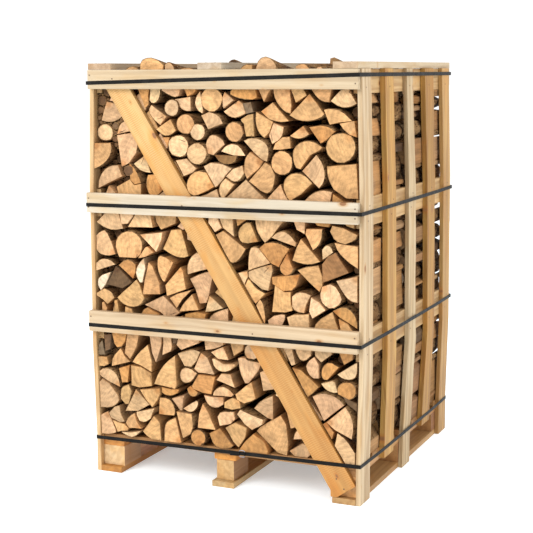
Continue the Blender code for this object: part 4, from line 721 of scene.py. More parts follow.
def end_grain():
    """Sawn ash ends: rings about the pith, a darker heart, the saw's scratches and a few drying cracks."""
    shade = Shading("ash_end_grain")
    place = shade.object_place()
    tint = shade.attribute("log_tint", "Color")
    from_pith = shade.vector("SUBTRACT", place, shade.attribute("log_pith", "Vector"))
    flat = shade.stretched(from_pith, (1.0, 0.0, 1.0))
    reach = shade.plus(shade.length(flat), shade.times(shade.noise(flat, 60.0, 2.0), 0.006))
    rings = shade.maths("SINE", shade.times(reach, 1700.0))
    broad_rings = shade.maths("SINE", shade.times(reach, 330.0))
    mottling = shade.noise(place, 26.0, 3.0, 0.6)
    fuzz = shade.noise(place, 420.0, 2.0, 0.7)
    torn = shade.noise(place, 135.0, 3.0, 0.7)
    saw = shade.streaks(shade.turned(flat, "log_turn"), (175.0, 1.0, 24.0), 2.0, 0.6)
    light = shade.between(mottling, 0.3, 0.7, 0.80, 1.18)
    light = shade.times(light, shade.between(fuzz, 0.2, 0.8, 0.84, 1.12))
    light = shade.times(light, shade.between(torn, 0.32, 0.66, 0.92, 1.07))
    light = shade.plus(light, shade.times(rings, 0.055))
    light = shade.plus(light, shade.times(broad_rings, 0.075))
    light = shade.times(light, shade.between(saw, 0.30, 0.70, 0.88, 1.10))
    heart = shade.times(shade.between(reach, 0.006, 0.034, 1.0, 0.0), shade.attribute("log_heart", "Fac"))
    colour = shade.brightness(shade.mix(heart, tint, shade.tinted(tint, HEART_WOOD)), light)
    return shade.finish({
        "Base Color": shade.mix(shade.cracks(flat), colour, CRACK_BROWN), "Roughness": 0.80,
        "Specular IOR Level": 0.20, "Normal": shade.bump(shade.plus(shade.times(fuzz, 0.4), saw), 0.0010)})


def split_face():
    """Faces torn along the fibres by the splitter: streaks along the log, splinters and weathering."""
    shade = Shading("ash_split_face")
    place = shade.object_place()
    fibres = shade.streaks(place, (210.0, 9.0, 210.0), 4.0, 0.65)
    broad = shade.streaks(place, (46.0, 5.0, 46.0), 3.0, 0.6)
    light = shade.between(fibres, 0.25, 0.75, 0.74, 1.06)
    light = shade.times(light, shade.between(broad, 0.3, 0.7, 0.74, 1.06))
    warm = shade.tinted(shade.attribute("log_tint", "Color"), SPLIT_WOOD)
    weathered = shade.between(shade.noise(place, 9.0, 2.0), 0.52, 0.72, 0.0, 0.35)
    colour = shade.brightness(shade.mix(weathered, warm, WEATHERED_WOOD), light)
    return shade.finish({"Base Color": colour, "Roughness": 0.82, "Specular IOR Level": 0.20,
                         "Normal": shade.bump(shade.plus(fibres, broad), 0.0022)})


def bark():
    """Ash bark: shallow grey-brown ridges along the log, with darker furrows."""
    shade = Shading("ash_bark")
    place = shade.object_place()
    ridges = shade.streaks(place, (120.0, 34.0, 120.0), 4.0, 0.65, 0.8)
    patches = shade.noise(place, 14.0, 3.0, 0.6)
    ridge_colour = shade.mix(shade.between(patches, 0.35, 0.65), BARK_BROWN, BARK_GREY)
    colour = shade.mix(shade.between(ridges, 0.36, 0.54), BARK_FURROW, ridge_colour)
    return shade.finish({"Base Color": colour, "Roughness": 0.92, "Specular IOR Level": 0.10,
                         "Normal": shade.bump(ridges, 0.0045)})


def sawn_board(name, ripple, streak_depth, resin=0.55):
    """Rough-sawn softwood: grain and growth lines along the board, knots, and the saw's cross marks."""
    shade = Shading(name)
    grain = shade.attribute("grain", "Vector")
    tint = shade.attribute("board_tint", "Color")
    bend = shade.streaks(grain, (1.6, 9.0, 9.0))
    spread = shade.node("ShaderNodeCombineXYZ", {"X": bend, "Y": bend, "Z": bend}).outputs["Vector"]
    straight, bent = shade.stretched(grain, (1.0, 60.0, 60.0)), shade.stretched(spread, (0.0, 4.0, 4.0))
    growth = shade.noise(shade.vector("ADD", straight, bent), 1.0, 2.0, 0.5)
    fibres = shade.streaks(grain, (14.0, 480.0, 480.0), 3.0, 0.6)
    broad = shade.streaks(grain, (1.4, 12.0, 12.0))
    light = shade.between(growth, 0.35, 0.65, 1.0 - streak_depth / 2, 1.05)
    light = shade.times(light, shade.between(fibres, 0.3, 0.7, 0.95, 1.03))
    light = shade.times(light, shade.between(broad, 0.3, 0.7, 0.93, 1.05))
    patches = shade.streaks(grain, (5.0, 16.0, 16.0), 2.0, 0.5)
    colour = shade.mix(shade.between(patches, 0.48, 0.72, 0.0, resin), tint, shade.tinted(tint, RESIN_WOOD))
    late = shade.between(growth, 0.35, 0.62, streak_depth * 1.6, 0.0)
    colour = shade.mix(late, colour, shade.tinted(tint, LATE_WOOD))
    if ripple:
        sway = shade.times(shade.streaks(grain, (12.0, 30.0, 30.0)), 9.0)
        saw = shade.maths("SINE", shade.plus(shade.times(shade.axes(grain)["X"], 800.0), sway))
        worn = shade.between(shade.streaks(grain, (9.0, 22.0, 22.0)), 0.28, 0.60, 0.0, ripple)
        mark = shade.times(shade.between(saw, -0.4, 0.9), worn)
        colour = shade.mix(mark, colour, shade.tinted(tint, SAW_MARK_WOOD))
    knot, ring = shade.knots(grain)
    colour = shade.mix(ring, shade.brightness(colour, light), shade.tinted(tint, KNOT_RING_WOOD))
    return shade.finish({"Base Color": shade.mix(knot, colour, KNOT_BROWN), "Roughness": 0.62,
                         "Normal": shade.bump(shade.plus(fibres, growth), 0.0006)})


def strap_plastic():
    """Black strapping: dusty plastic with a fine pressed pattern."""
    shade = Shading("black_strapping")
    place = shade.object_place()
    dust = shade.noise(place, 35.0, 3.0)
    return shade.finish({
        "Base Color": shade.mix(shade.between(dust, 0.45, 0.8, 0.0, 0.6), *STRAP_BLACKS),
        "Roughness": shade.between(dust, 0.3, 0.8, 0.42, 0.58), "Specular IOR Level": 0.09,
        "Normal": shade.bump(shade.noise(place, 900.0, 1.0), 0.0002)})


def uneven_metal(name, scale, colours, metallic, smooth, rough):
    """Metal that clouds of zinc bloom or rust make uneven in colour and gloss."""
    shade = Shading(name)
    cloud = shade.noise(shade.object_place(), scale, 2.0)
    return shade.finish({"Base Color": shade.mix(cloud, *colours), "Metallic": metallic,
                         "Roughness": shade.between(cloud, 0.3, 0.7, smooth, rough)})


# Outlines in the log rows' section: lists of (x, z, rounded) corners


def edges_of(outline):
    """An outline's corners, each with the next one."""
    return zip(outline, outline[1:] + outline[:1])


def signed_area(outline):
    """The outline's area, above zero where it runs anticlockwise."""
    return sum(x * next_z - next_x * z for (x, z, _), (next_x, next_z, _) in edges_of(outline)) / 2


def cut_outline(outline, normal, limit):
    """Keep the part of an outline where its distance along the normal is under the limit."""
    kept = []
    for point, after in edges_of(outline):
        here, there = (x * normal[0] + z * normal[1] - limit for x, z, _ in (point, after))
        if here <= 0:
            kept.append(point)
        if here * there < 0:
            share = here / (here - there)
            x, z = (start + (end - start) * share for start, end in zip(point[:2], after[:2]))
            kept.append((x, z, False))
    return kept


def outward_normals(outline):
    """Unit normals of an anticlockwise outline's edges."""
    normals = []
    for (x, z, _), (next_x, next_z, _) in edges_of(outline):
        length = math.hypot(next_x - x, next_z - z)
        if length > 1e-6:
            normals.append(((next_z - z) / length, (x - next_x) / length))
    return normals


def furthest(outline, normal):
    """How far an outline reaches along a normal."""
    return max(x * normal[0] + z * normal[1] for x, z, _ in outline)


def least_overlap(first, second):
    """The direction from first to second in which they overlap least, the overlap and its middle."""
    best = None
    for normal in outward_normals(first) + [(-x, -z) for x, z in outward_normals(second)]:
        reach = furthest(first, normal)
        start = -furthest(second, (-normal[0], -normal[1]))
        if best is None or reach - start < best[1]:
            best = (normal, reach - start, (reach + start) / 2)
    return best


def spans(outline):
    """Lowest and highest x and z of an outline."""
    xs = [x for x, _, _ in outline]
    zs = [z for _, z, _ in outline]
    return min(xs), max(xs), min(zs), max(zs)


def are_near(first, second):
    """Whether two outlines' boxes come within a log gap of each other."""
    a, b = spans(first), spans(second)
    across = a[0] < b[1] + LOG_GAP and b[0] < a[1] + LOG_GAP
    return across and a[2] < b[3] + LOG_GAP and b[2] < a[3] + LOG_GAP


def middle_of(outline):
    """The middle of an outline's corners."""
    return sum(point[0] for point in outline) / len(outline), sum(point[1] for point in outline) / len(outline)


# Logs


def read_place(word):
    """The x and z of a corner, in metres, from its word in centimetres."""
    return [float(number) / 100 for number in word.rstrip("~").split(",")]


def read_logs(text):
    """Read outlines into (tint, [(x, z, rounded), ...]), all of them anticlockwise."""
    logs = []
    for line in text.strip().splitlines():
        tint, *words = line.split()
        if "," in words[-1]:
            corners = [(*read_place(word), word.endswith("~")) for word in words]
        else:
            x, z = read_place(words[0])
            radius = float(words[1]) / 100
            corners = []
            for step in range(ROUND_SIDES):
                turn = math.tau * step / ROUND_SIDES
                dent = noise.noise(Vector((x * 90 + math.cos(turn), z * 90 + math.sin(turn), 0)))
                reach = radius * (1 + ROUND_UNEVENNESS * dent)
                corners.append((x + reach * math.cos(turn), z + reach * math.sin(turn), True))
        logs.append((tint, corners if signed_area(corners) > 0 else corners[::-1]))
    return logs


def bow_at(height):
    """How far the side posts stand outwards at a height."""
    foot = min(1.0, max(0.0, (height - DECK_TOP) / (BOW_LOW - DECK_TOP)))
    top = min(1.0, max(0.0, (POST_TOP - height) / (POST_TOP - BOW_HIGH)))
    return BOW * foot * top


def part_neighbours(logs):
    """Trim logs that press into each other, each by half, so that a narrow gap is left."""
    parted = [list(outline) for _, outline in logs]
    for index, other in itertools.combinations(range(len(parted)), 2):
        first, second = parted[index], parted[other]
        if len(first) < 3 or len(second) < 3 or not are_near(first, second):
            continue
        normal, overlap, middle = least_overlap(first, second)
        if -LOG_GAP < overlap < LOG_MOST_OVERLAP:
            parted[index] = cut_outline(first, normal, middle - LOG_GAP / 2)
            parted[other] = cut_outline(second, (-normal[0], -normal[1]), -middle - LOG_GAP / 2)
    return [(tint, outline) for (tint, _), outline in zip(logs, parted) if len(outline) > 2]


def board_sections():
    """Outlines round the side rails and the cap boards, which the logs stay clear of."""
    sections = []
    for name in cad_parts:
        if name.startswith(("side_rail", "cap_board")):
            low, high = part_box(name)
            left = low[0] + CRATE_WIDTH / 2 - BOARD_MARGIN
            right = high[0] + CRATE_WIDTH / 2 + BOARD_MARGIN
            foot = low[2] - BOARD_MARGIN
            top = high[2] + (CAP_CLEARANCE if name.startswith("cap_board") else BOARD_MARGIN)
            corners = ((left, foot), (right, foot), (right, top), (left, top))
            sections.append([(x, z, False) for x, z in corners])
    return sections


def clear_of_boards(outline, boards):
    """Cut an outline back from the posts, the deck and the boards that run beside the logs."""
    edge = POST_THICK + BOARD_MARGIN
    rise, fall = BOW_LOW - DECK_TOP, POST_TOP - BOW_HIGH
    outline = cut_outline(outline, (0, -1), -(DECK_TOP + BOARD_MARGIN))
    for sign, side in ((-1, edge), (1, CRATE_WIDTH - edge)):
        outline = cut_outline(outline, (sign, 0), sign * side + BOW)
        outline = cut_outline(outline, (sign * rise, -BOW), sign * rise * side - BOW * DECK_TOP)
        outline = cut_outline(outline, (sign * fall, BOW), sign * fall * side + BOW * POST_TOP)
    for board in boards:
        if len(outline) < 3:
            break
        normal, overlap, _ = least_overlap(outline, board)
        if overlap > 0:
            outline = cut_outline(outline, normal, furthest(outline, normal) - overlap)
    return outline


def pressed_out(outline):
    """Draw the part of an outline beside the posts out to where they bow."""
    drawn = []
    for x, z, rounded in outline:
        left = max(0.0, 1 - x / STICK_STRIP)
        right = max(0.0, 1 - (CRATE_WIDTH - x) / STICK_STRIP)
        drawn.append((x + (right - left) * bow_at(z), z, rounded))
    return drawn


def row_logs(row, boards):
    """All the logs of one row, parted from each other and clear of the boards."""
    logs = []
    for slot, tier in zip(TIER_SLOTS, ROW_TIERS[row]):
        text, base = TIERS[tier]
        for tint, outline in read_logs(text):
            logs.append((tint, [(x, z + slot - base, rounded) for x, z, rounded in outline]))
    share = TOP_COURSE_SHARE[row]
    for tint, outline in read_logs(TOP_COURSE):
        logs.append((tint, [(x, TOP_COURSE_BASE + (z - TOP_COURSE_BASE) * share, r) for x, z, r in outline]))
    if row in MIRRORED_ROWS:
        logs = [(tint, [(CRATE_WIDTH - x, z, r) for x, z, r in outline[::-1]]) for tint, outline in logs]
    for tint, raised in read_logs(RAISED_LOGS.get(row, "")):
        left, right, _, _ = spans(raised)
        logs = [log for log in logs if spans(log[1])[2] < TOP_COURSE_BASE - RAISED_CLEARANCE
                or spans(log[1])[1] < left or spans(log[1])[0] > right]
        logs.append((tint, raised))
    logs = [(tint, clear_of_boards(pressed_out(outline), boards)) for tint, outline in logs]
    return part_neighbours([log for log in logs if len(log[1]) > 2])


def room_at(x, z, outlines, least):
    """The room round a point of the section: from the posts and from the nearest outline."""
    edge = POST_THICK + BOARD_MARGIN - bow_at(z)
    room = min(x - edge, CRATE_WIDTH - edge - x)
    for outline in outlines:
        if room < least:
            break
        outside = -1.0
        for (ax, az, _), (bx, bz, _) in edges_of(outline):
            length = math.hypot(bx - ax, bz - az)
            if length > 1e-6:
                outside = max(outside, ((x - ax) * (bz - az) - (z - az) * (bx - ax)) / length)
        room = min(room, outside)
    return room


def side_sticks(row, logs, boards, dice):
    """Thin round logs for the widest gaps beside the posts, and twigs for the narrow ones of the front row."""
    sticks = []
    strips = [(0.0, STICK_STRIP, LEAST_STICK, STICK_STEP),
              (CRATE_WIDTH - STICK_STRIP, CRATE_WIDTH, LEAST_STICK, STICK_STEP)]
    if row == "front":
        strips[0] = (0.0, TWIG_STRIP, LEAST_TWIG, STICK_STEP / 2)
    for left, right, least, pitch in strips:
        beside = [outline for _, outline in logs if spans(outline)[0] < right and spans(outline)[1] > left]
        rooms = {}
        for column in range(int((right - left) / pitch)):
            for level in range(int((TOP_COURSE_BASE - DECK_TOP) / pitch)):
                x, z = left + column * pitch, DECK_TOP + level * pitch
                room = min(room_at(x, z, beside + boards, least), z - DECK_TOP, TOP_COURSE_BASE - z)
                if room > least:
                    rooms[x, z] = room
        while rooms:
            x, z = max(rooms, key=rooms.get)
            radius = min(rooms[x, z] - STICK_MARGIN, MOST_STICK)
            tint = dice.choice(STICK_TINTS) if row != "front" else "b"
            outline = []
            for step in range(STICK_SIDES):
                turn = math.tau * step / STICK_SIDES + x * 90
                outline.append((x + radius * math.cos(turn), z + radius * math.sin(turn), tint == "b"))
            sticks.append((tint, outline))
            rooms = {place: min(room, math.dist(place, (x, z)) - radius) for place, room in rooms.items()}
            rooms = {place: room for place, room in rooms.items() if room > least}
    return sticks


def with_bark_rounded(outline):
    """Round the bark's corners, and give long split edges a middle point that strays a little."""
    rounded = []
    for before, (x, z, is_round), after in zip(outline[-1:] + outline[:-1], outline, outline[1:] + outline[:1]):
        if is_round and len(outline) < ROUND_SIDES:
            for other_x, other_z, _ in (before, after):
                rounded.append((x + (other_x - x) * BARK_ROUNDING, z + (other_z - z) * BARK_ROUNDING, True))
        else:
            rounded.append((x, z, is_round))
        after_x, after_z, after_round = after
        length = math.hypot(after_x - x, after_z - z)
        if not is_round and not after_round and length > LONG_SPLIT_EDGE:
            stray = SPLIT_EDGE_STRAY * noise.noise(Vector((x * 60, z * 60, 3.0)))
            middle = (x + after_x) / 2 + (after_z - z) * stray, (z + after_z) / 2 - (after_x - x) * stray
            rounded.append((*middle, False))
    return rounded


def pith_place(outline):
    """Where a log's rings have their middle: across from its bark."""
    centre = middle_of(outline)
    bark_points = [point for point in outline if point[2]]
    if len(bark_points) == len(outline):
        return centre
    bark_middle = middle_of(bark_points) if bark_points else outline[0][:2]
    apex = max(outline, key=lambda point: math.dist(point[:2], bark_middle))
    return [middle + (far - middle) * PITH_REACH for middle, far in zip(centre, apex)]


def is_behind_brace(outline):
    """Whether the front brace passes over a log end."""
    low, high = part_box("front_brace")
    slope = (high[0] - low[0]) / (high[2] - low[2])
    distances = []
    for x, z, _ in outline:
        on_line = high[0] - BRACE_WIDTH / 2 - (z - low[2]) * slope
        distances.append(x - CRATE_WIDTH / 2 - on_line)
    return max(distances) > -BRACE_HALF_BAND and min(distances) < BRACE_HALF_BAND


def end_places(row, start, outline, is_stick, dice):
    """How deep in the crate a log's two ends lie."""
    front = start + dice.uniform(*END_DEPTHS)
    back = start + LOG_LENGTH - dice.uniform(*END_DEPTHS)
    if is_stick:
        front += STICK_SETBACK
    if row == "back":
        back += dice.uniform(*BACK_END_DEPTHS)
    if row == "front" and is_behind_brace(outline):
        front = BEHIND_BRACE + dice.uniform(*BRACE_END_DEPTHS)
    return front, back


def describe_log(row, tint, outline, ends, dice):
    """What one log's shape and finish need: ends, lean, drift, tint, pith, saw direction, crack and heart."""
    shade = 1 + dice.uniform(-TINT_SPREAD, TINT_SPREAD)
    # Painted shade: logs in the rows behind the front one are darkened
    if row != "front":
        shade *= ROWS_BEHIND_PAINTED_SHADE
    top = spans(outline)[3]
    return {
        "outline": outline, "front": ends[0], "back": ends[1],
        "centre": Vector((sum(p[0] for p in outline), sum(p[1] for p in outline), 0)) / len(outline),
        "tilt": (dice.uniform(-END_LEAN, END_LEAN), dice.uniform(-END_LEAN, END_LEAN)),
        "drift": (dice.uniform(-LOG_DRIFT, LOG_DRIFT), dice.uniform(-LOG_DRIFT, LOG_DRIFT)),
        "tint": [min(1.0, channel * shade * (1 + dice.uniform(-CHANNEL_SPREAD, CHANNEL_SPREAD)))
                 for channel in TINTS[tint]],
        "pith": pith_place(outline), "turn": dice.uniform(0, math.pi),
        "crack": dice.uniform(0.1, math.tau) if dice.random() < CRACKED_SHARE else 0.0,
        "heart": dice.choice(HEART_STRENGTHS),
        "swell": FRONT_ROW_SWELL if row == "front" and top < SWELL_TOP else 0.0,
        "fall": RAISED_FALL if row != "back" and top > RAISED_HEIGHT else 0.0,
    }


def add_log_row(row, start, materials, boards):
    """One row of logs: every log its own closed body, sawn at both ends and split along its length."""
    dice = random.Random(f"row {row}")
    laid = row_logs(row, boards)
    logs = [(tint, with_bark_rounded(outline)) for tint, outline in laid] + side_sticks(row, laid, boards, dice)
    bm = bmesh.new()
    marks = {name: bm.verts.layers.int.new(name) for name in ("log_number", "corner", "ring")}
    notes = []
    caps = []
    for number, (tint, outline) in enumerate(logs):
        ends = end_places(row, start, outline, number >= len(laid), dice)
        notes.append(describe_log(row, tint, outline, ends, dice))
        verts = [bm.verts.new((x, 0, z)) for x, z, _ in outline]
        for corner, vert in enumerate(verts):
            vert[marks["log_number"]] = number
            vert[marks["corner"]] = corner
        caps.append(bm.faces.new(verts))
    verts = list(bm.verts)
    for ring, share in enumerate(RING_SHARES):
        if ring:
            pushed = bmesh.ops.extrude_face_region(bm, geom=caps, use_keep_orig=ring == 1)["geom"]
            caps = [item for item in pushed if isinstance(item, bmesh.types.BMFace)]
            verts = [item for item in pushed if isinstance(item, bmesh.types.BMVert)]
        for vert in verts:
            vert[marks["ring"]] = ring
            vert.co = ring_point(notes[vert[marks["log_number"]]], vert[marks["corner"]], share)
    bmesh.ops.recalc_face_normals(bm, faces=bm.faces)
    mark_faces(bm, marks, notes)
    write_log_notes(bm, marks, notes)
    add_piece(f"logs_{row}", bm, materials, "ash_logs", f"log_row_{row}")


def ring_point(note, corner, share):
    """A corner's place on one ring of its log; the ring behind the front end's edge has no share."""
    x, z, is_round = note["outline"][corner]
    centre = note["centre"]
    along = share if share is not None else END_EDGE / LOG_LENGTH
    depth = note["front"] + (note["back"] - note["front"]) * along
    out_x, out_z = x - centre.x, z - centre.y
    if share is None:
        stray = 0.0
    elif share == 0.0:
        stray = -(BARK_EDGE if is_round else END_EDGE)
    else:
        relief = BARK_RELIEF if is_round else SPLIT_WAVINESS
        place = Vector((x * RELIEF_ACROSS, depth * RELIEF_ALONG, z * RELIEF_ACROSS))
        stray = relief * noise.noise(place) - relief * RELIEF_INWARDS
    scale = 1 + (stray + note["swell"] * along) / max(math.hypot(out_x, out_z), LEAST_REACH)
    lean = out_x * note["tilt"][0] + out_z * note["tilt"][1]
    if share == 1.0:
        depth -= lean
    elif note["front"] < LEANING_DEPTH and share in (None, 0.0):
        depth += lean
    place_x = centre.x + out_x * scale + note["drift"][0] * along
    place_z = centre.y + out_z * scale + note["drift"][1] * along
    place_z -= note["fall"] * along * max(0.0, place_z - TOP_COURSE_BASE) / RAISED_FULL
    return Vector((place_x - CRATE_WIDTH / 2, max(depth, LEAST_DEPTH) - CRATE_DEPTH / 2, place_z))


def mark_faces(bm, marks, notes):
    """Give each face its finish: sawn ends, bark where the outline is round, and split faces."""
    for face in bm.faces:
        if len({vert[marks["ring"]] for vert in face.verts}) == 1:
            face.material_index = 0
            continue
        outline = notes[face.verts[0][marks["log_number"]]]["outline"]
        face.smooth = any(outline[vert[marks["corner"]]][2] for vert in face.verts)
        face.material_index = 2 if face.smooth else 1


def write_log_notes(bm, marks, notes):
    """Write what the finishes read from each log: tint, pith, heart, saw direction and crack."""
    tint = bm.verts.layers.float_color.new("log_tint")
    pith = bm.verts.layers.float_vector.new("log_pith")
    values = {name: bm.verts.layers.float.new(f"log_{name}") for name in ("turn", "crack", "heart")}
    for vert in bm.verts:
        note = notes[vert[marks["log_number"]]]
        vert[tint] = (*note["tint"], 1.0)
        vert[pith] = (note["pith"][0] - CRATE_WIDTH / 2, 0.0, note["pith"][1])
        for name, layer in values.items():
            vert[layer] = note[name]


def add_piece(name, bm, materials, slot, *replaced):
    """Turn a bmesh into a piece that rides on the crate, in place of the solids that it replaces."""
    piece = mesh_object(name, bm, materials)
    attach(piece, "root")
    if replaced:
        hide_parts(*replaced)


# Boards


def dress_board(node, material, slot, tint):
    """A board over its solid: eased edges, the saw's wander, wane where the tree's round shows."""
    low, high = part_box(node)
    dice = random.Random(node)
    axes = sorted(range(3), key=lambda axis: low[axis] - high[axis])
    along = axes[0]
    bm = bmesh.new()
    bm.from_mesh(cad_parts[node].data)
    bmesh.ops.remove_doubles(bm, verts=bm.verts, dist=MERGE_DISTANCE)
    bmesh.ops.dissolve_limit(bm, angle_limit=math.radians(1), verts=bm.verts, edges=bm.edges)
    bmesh.ops.bevel(bm, geom=bm.edges[:], offset=BOARD_EDGE, segments=2, profile=0.5,
                    affect="EDGES", material=-1)
    length = high[along] - low[along]
    count = max(1, round(length / BOARD_PIECE))
    for cut in range(1, count):
        normal, centre = [0.0, 0.0, 0.0], [0.0, 0.0, 0.0]
        normal[along] = 1.0
        centre[along] = low[along] + length * cut / count
        geom = bm.verts[:] + bm.edges[:] + bm.faces[:]
        bmesh.ops.bisect_plane(bm, geom=geom, plane_co=centre, plane_no=normal)
    shape_board(bm, node, low, high, axes, dice.uniform(0, 50))
    bmesh.ops.recalc_face_normals(bm, faces=bm.faces)
    turn_grain(bm, node, axes, dice)
    tint_board(bm, node, tint, 1 + dice.uniform(-BOARD_TINT_SPREAD, BOARD_TINT_SPREAD))
    add_piece(f"{node}_sawn", bm, [material], slot, node)


def tint_board(bm, node, tint, brightness):
    """Write the board's tint: a brace is a deeper brown at its foot, the pallet blocks get painted shade on
    their sides, and the cap boards have darker ends.
    """
    low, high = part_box(node)
    layer = bm.verts.layers.float_color.new("board_tint")
    colour = Vector(BOARD_TINTS.get(node, tint)) * brightness
    foot_colour = Vector(BRACE_FOOT_TINT) if "brace" in node else colour
    for vert in bm.verts:
        rise = (vert.co.z - low[2]) / (high[2] - low[2])
        vert[layer] = (*foot_colour.lerp(colour, rise), 1.0)
    # Painted shade on the pallet blocks' side faces; the cap boards' end faces are only made darker
    for kind, (axis, share) in PAINTED_SHADE_AND_DARK_END_FACES.items():
        darkened_faces = [face for face in bm.faces if node.startswith(kind) and abs(face.normal[axis]) > FACING]
        for vert in {vert for face in darkened_faces for vert in face.verts}:
            vert[layer] = (*(channel * left for channel, left in zip(colour, share)), 1.0)


def shape_board(bm, node, low, high, axes, seed):
    """Let the board's edges wander inwards, and cut the wane."""
    along, across, _ = axes
    middle = (low[across] + high[across]) / 2
    start, end, depth = WANES.get(node, (0.0, 0.0, 0.0))
    length = high[along] - low[along]
    for vert in bm.verts:
        side = math.copysign(1.0, vert.co[across] - middle)
        wander = SAW_WANDER * (0.5 + 0.5 * noise.noise(Vector((vert.co[along] * 4, side * 7, seed))))
        share = (vert.co[along] - low[along]) / length
        if depth and side > 0 and start < share < end:
            fade = min(1.0, (share - start) / WANE_FADE, (end - share) / WANE_FADE)
            wander += fade * depth * abs(noise.noise(Vector((vert.co[along] * 9, seed, 2.0)))) * WANE_STRENGTH
        vert.co[across] -= side * wander


def turn_grain(bm, node, axes, dice):
    """Write each point's place along, across and through the board, which its grain follows."""
    low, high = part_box(node)
    lean = math.atan2(high[0] - low[0] - BRACE_WIDTH, high[2] - low[2])
    if node.startswith("back"):
        lean = -lean
    layer = bm.verts.layers.float_vector.new("grain")
    offset = Vector([dice.uniform(0, 30) for _ in axes])
    for vert in bm.verts:
        place = Vector([vert.co[axis] for axis in axes])
        if node.endswith("brace"):
            x, y, z = vert.co
            up, aside = z * math.cos(lean) - x * math.sin(lean), x * math.cos(lean) + z * math.sin(lean)
            place = Vector((up, aside, y))
        vert[layer] = place + offset


def dress_boards():
    """Every board of the crate and the pallet, by the first of these words in its name."""
    rail = sawn_board("rail_pine_sawn", ripple=0.0, streak_depth=0.17)
    post = sawn_board("post_pine_sawn", ripple=0.0, streak_depth=0.34)
    brace = sawn_board("brace_pine_sawn", ripple=0.75, streak_depth=0.10, resin=1.0)
    pallet = sawn_board("pallet_pine_sawn", ripple=0.15, streak_depth=0.20)
    kinds = (
        ("brace", brace, "brace_pine", BRACE_TINT),
        ("side_", post, "post_pine", POST_TINT),
        ("pallet_", pallet, "pallet_pine", PALLET_TINT),
        ("rail", rail, "rail_pine", RAIL_TINT),
        ("cap_", rail, "rail_pine", RAIL_TINT),
    )
    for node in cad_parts:
        for word, material, slot, tint in kinds:
            if word in node:
                dress_board(node, material, slot, tint)
                break


# Nails, straps and buckle


def rail_nails(level):
    """Nails of the front and back rails at one level: two at each end, and two through the brace."""
    places = []
    for face, sign in (("front", -1), ("back", 1)):
        low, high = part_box(f"{face}_rail_{level}")
        surface = low[1] if sign < 0 else high[1]
        tall = high[2] - low[2]
        outward = Vector((0, sign, 0))
        for x in (low[0] + RAIL_NAIL_INSETS[0], high[0] - RAIL_NAIL_INSETS[1]):
            places += [(Vector((x, surface, low[2] + tall * share)), outward) for share in RAIL_NAIL_SHARES]
        brace_low, brace_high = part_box(f"{face}_brace")
        rise = ((low[2] + high[2]) / 2 - brace_low[2]) / (brace_high[2] - brace_low[2])
        x = sign * (brace_low[0] + BRACE_NAIL_INSET + (brace_high[0] - brace_low[0] - BRACE_WIDTH) * rise)
        for shift in BRACE_NAIL_SHIFTS:
            z = low[2] + tall * (BRACE_NAIL_HEIGHT + shift * BRACE_NAIL_CLIMB)
            places.append((Vector((x + shift, surface, z)), outward))
    return places


def post_nails(level):
    """Nails that hold the posts to the side rails at one level, two in each post."""
    places = []
    for side, sign in (("left", -1), ("right", 1)):
        rail_low, rail_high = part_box(f"side_rail_{side}_{level}")
        for number in range(1, 6):
            low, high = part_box(f"side_post_{side}_{number}")
            thick = POST_THICK if number % 2 else THICK_POST
            for share_y, share_z in POST_NAIL_SHARES:
                y = low[1] + (high[1] - low[1]) * share_y
                z = rail_low[2] + (rail_high[2] - rail_low[2]) * share_z
                surface = sign * (CRATE_WIDTH / 2 - POST_THICK + thick + bow_at(z))
                places.append((Vector((surface, y, z)), Vector((sign, 0, 0))))
    return places


def nail_places():
    """Where the nails are driven: (point, outward axis) on the rails, posts, brace and cap boards."""
    places = []
    for level in ("bottom", "middle", "top"):
        places += rail_nails(level) + post_nails(level)
    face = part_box("front_brace")[0][1]
    for x, z in BRACE_FOOT_NAILS:
        places.append((Vector((x - CRATE_WIDTH / 2, face, z)), Vector((0, -1, 0))))
    for side in ("left", "middle", "right"):
        low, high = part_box(f"cap_board_{side}")
        for y in (low[1] + CAP_NAIL_INSET, high[1] - CAP_NAIL_INSET):
            for share in CAP_NAIL_SHARES:
                x = low[0] + (high[0] - low[0]) * share
                places.append((Vector((x, y, high[2])), Vector((0, 0, 1))))
    return places


def add_nails(material):
    """Flat nail heads, hardly proud of the wood."""
    bm = bmesh.new()
    for place, outward in nail_places():
        turn = outward.to_track_quat("Z", "Y").to_matrix().to_4x4()
        sunk = place + outward * (NAIL_PROUD / 2 - SAW_WANDER * 0.2)
        bmesh.ops.create_cone(bm, cap_ends=True, segments=NAIL_SIDES, depth=NAIL_PROUD * 2, radius1=NAIL_HEAD,
                              radius2=NAIL_HEAD * 0.9, matrix=Matrix.Translation(sunk) @ turn)
    add_piece("nail_heads", bm, [material], "buckle_wire")


def dress_straps(material):
    """The straps keep their solids, with the plastic's finish."""
    for level in ("top", "upper", "lower", "bottom"):
        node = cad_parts[f"strap_{level}"]
        node.data.materials.clear()
        node.data.materials.append(material)


def wire_path(width, height):
    """Points round the middle of the buckle's wire, with its corners bent round."""
    bend = min(width, height) * BUCKLE_BEND
    half_x, half_z = (width - BUCKLE_WIRE) / 2 - bend, (height - BUCKLE_WIRE) / 2 - bend
    path = []
    for quarter, (side_x, side_z) in enumerate(((1, 1), (-1, 1), (-1, -1), (1, -1))):
        for step in range(BEND_STEPS + 1):
            angle = math.radians(90 * (quarter + step / BEND_STEPS))
            x, z = side_x * half_x + bend * math.cos(angle), side_z * half_z + bend * math.sin(angle)
            path.append(Vector((x, 0, z)))
    return path


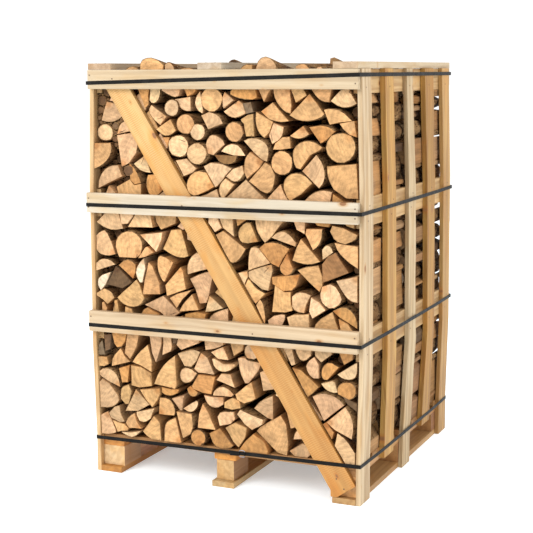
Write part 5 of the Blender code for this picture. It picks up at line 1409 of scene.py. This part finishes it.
def add_buckle_loop(middle, material):
    """The wire buckle: a closed upright loop of round wire."""
    bm = bmesh.new()
    path = wire_path(*BUCKLE_LOOP)
    edges = []
    for index, point in enumerate(path):
        ahead = (path[(index + 1) % len(path)] - path[index - 1]).normalized()
        outward = ahead.cross(Vector((0, 1, 0)))
        turn = Matrix((outward, Vector((0, 1, 0)), ahead)).transposed().to_4x4()
        ring = bmesh.ops.create_circle(bm, segments=WIRE_SIDES, radius=BUCKLE_WIRE / 2,
                                       matrix=Matrix.Translation(middle + point) @ turn)["verts"]
        edges.append({edge for vert in ring for edge in vert.link_edges})
    for ring, following in zip(edges, edges[1:] + edges[:1]):
        bmesh.ops.bridge_loops(bm, edges=list(ring | following))
    bmesh.ops.recalc_face_normals(bm, faces=bm.faces)
    for face in bm.faces:
        face.smooth = True
    add_piece("buckle_wire_loop", bm, [material], "buckle_wire", "strap_buckle")


def add_strap_folds(middle, material):
    """The strap's ends folded round the buckle's sides, and its loose end beside it."""
    bm = bmesh.new()
    width = BUCKLE_LOOP[0]
    for side in (-1, 1):
        across = Vector((side * (width - BUCKLE_WIRE) / 2, -FOLD_FORWARD, 0))
        bmesh.ops.create_cone(bm, cap_ends=True, segments=FOLD_SIDES, radius1=STRAP_FOLD, radius2=STRAP_FOLD,
                              depth=STRAP_FOLD_WIDTH, matrix=Matrix.Translation(middle + across))
    for face in bm.faces:
        face.smooth = len(face.verts) == 4
    tail = bmesh.ops.create_cube(bm, size=1.0)["verts"]
    bmesh.ops.scale(bm, vec=STRAP_TAIL, verts=tail)
    bmesh.ops.rotate(bm, cent=(0, 0, 0), matrix=Matrix.Rotation(STRAP_TAIL_TURN, 3, "Y"), verts=tail)
    beside = Vector((-width / 2 - STRAP_TAIL[0] / 2, 0, -STRAP_TAIL_DROP))
    bmesh.ops.translate(bm, vec=middle + beside, verts=tail)
    bmesh.ops.recalc_face_normals(bm, faces=bm.faces)
    add_piece("strap_folds", bm, [material], "black_strap")


def main():
    add_camera()
    add_studio()
    log_finishes = [end_grain(), split_face(), bark()]
    boards = board_sections()
    for row, start in zip(ROWS, ROW_STARTS):
        add_log_row(row, start, log_finishes, boards)
    dress_boards()
    add_nails(uneven_metal("nail_steel", 700.0, NAIL_BROWNS, metallic=0.6, smooth=0.5, rough=0.75))
    plastic = strap_plastic()
    dress_straps(plastic)
    low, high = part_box("strap_buckle")
    middle = Vector([(low[axis] + high[axis]) / 2 for axis in range(3)])
    zinc = uneven_metal("zinc_wire", 220.0, ZINC_GREYS, metallic=1.0, smooth=0.28, rough=0.42)
    add_buckle_loop(middle, zinc)
    add_strap_folds(middle, plastic)


main()
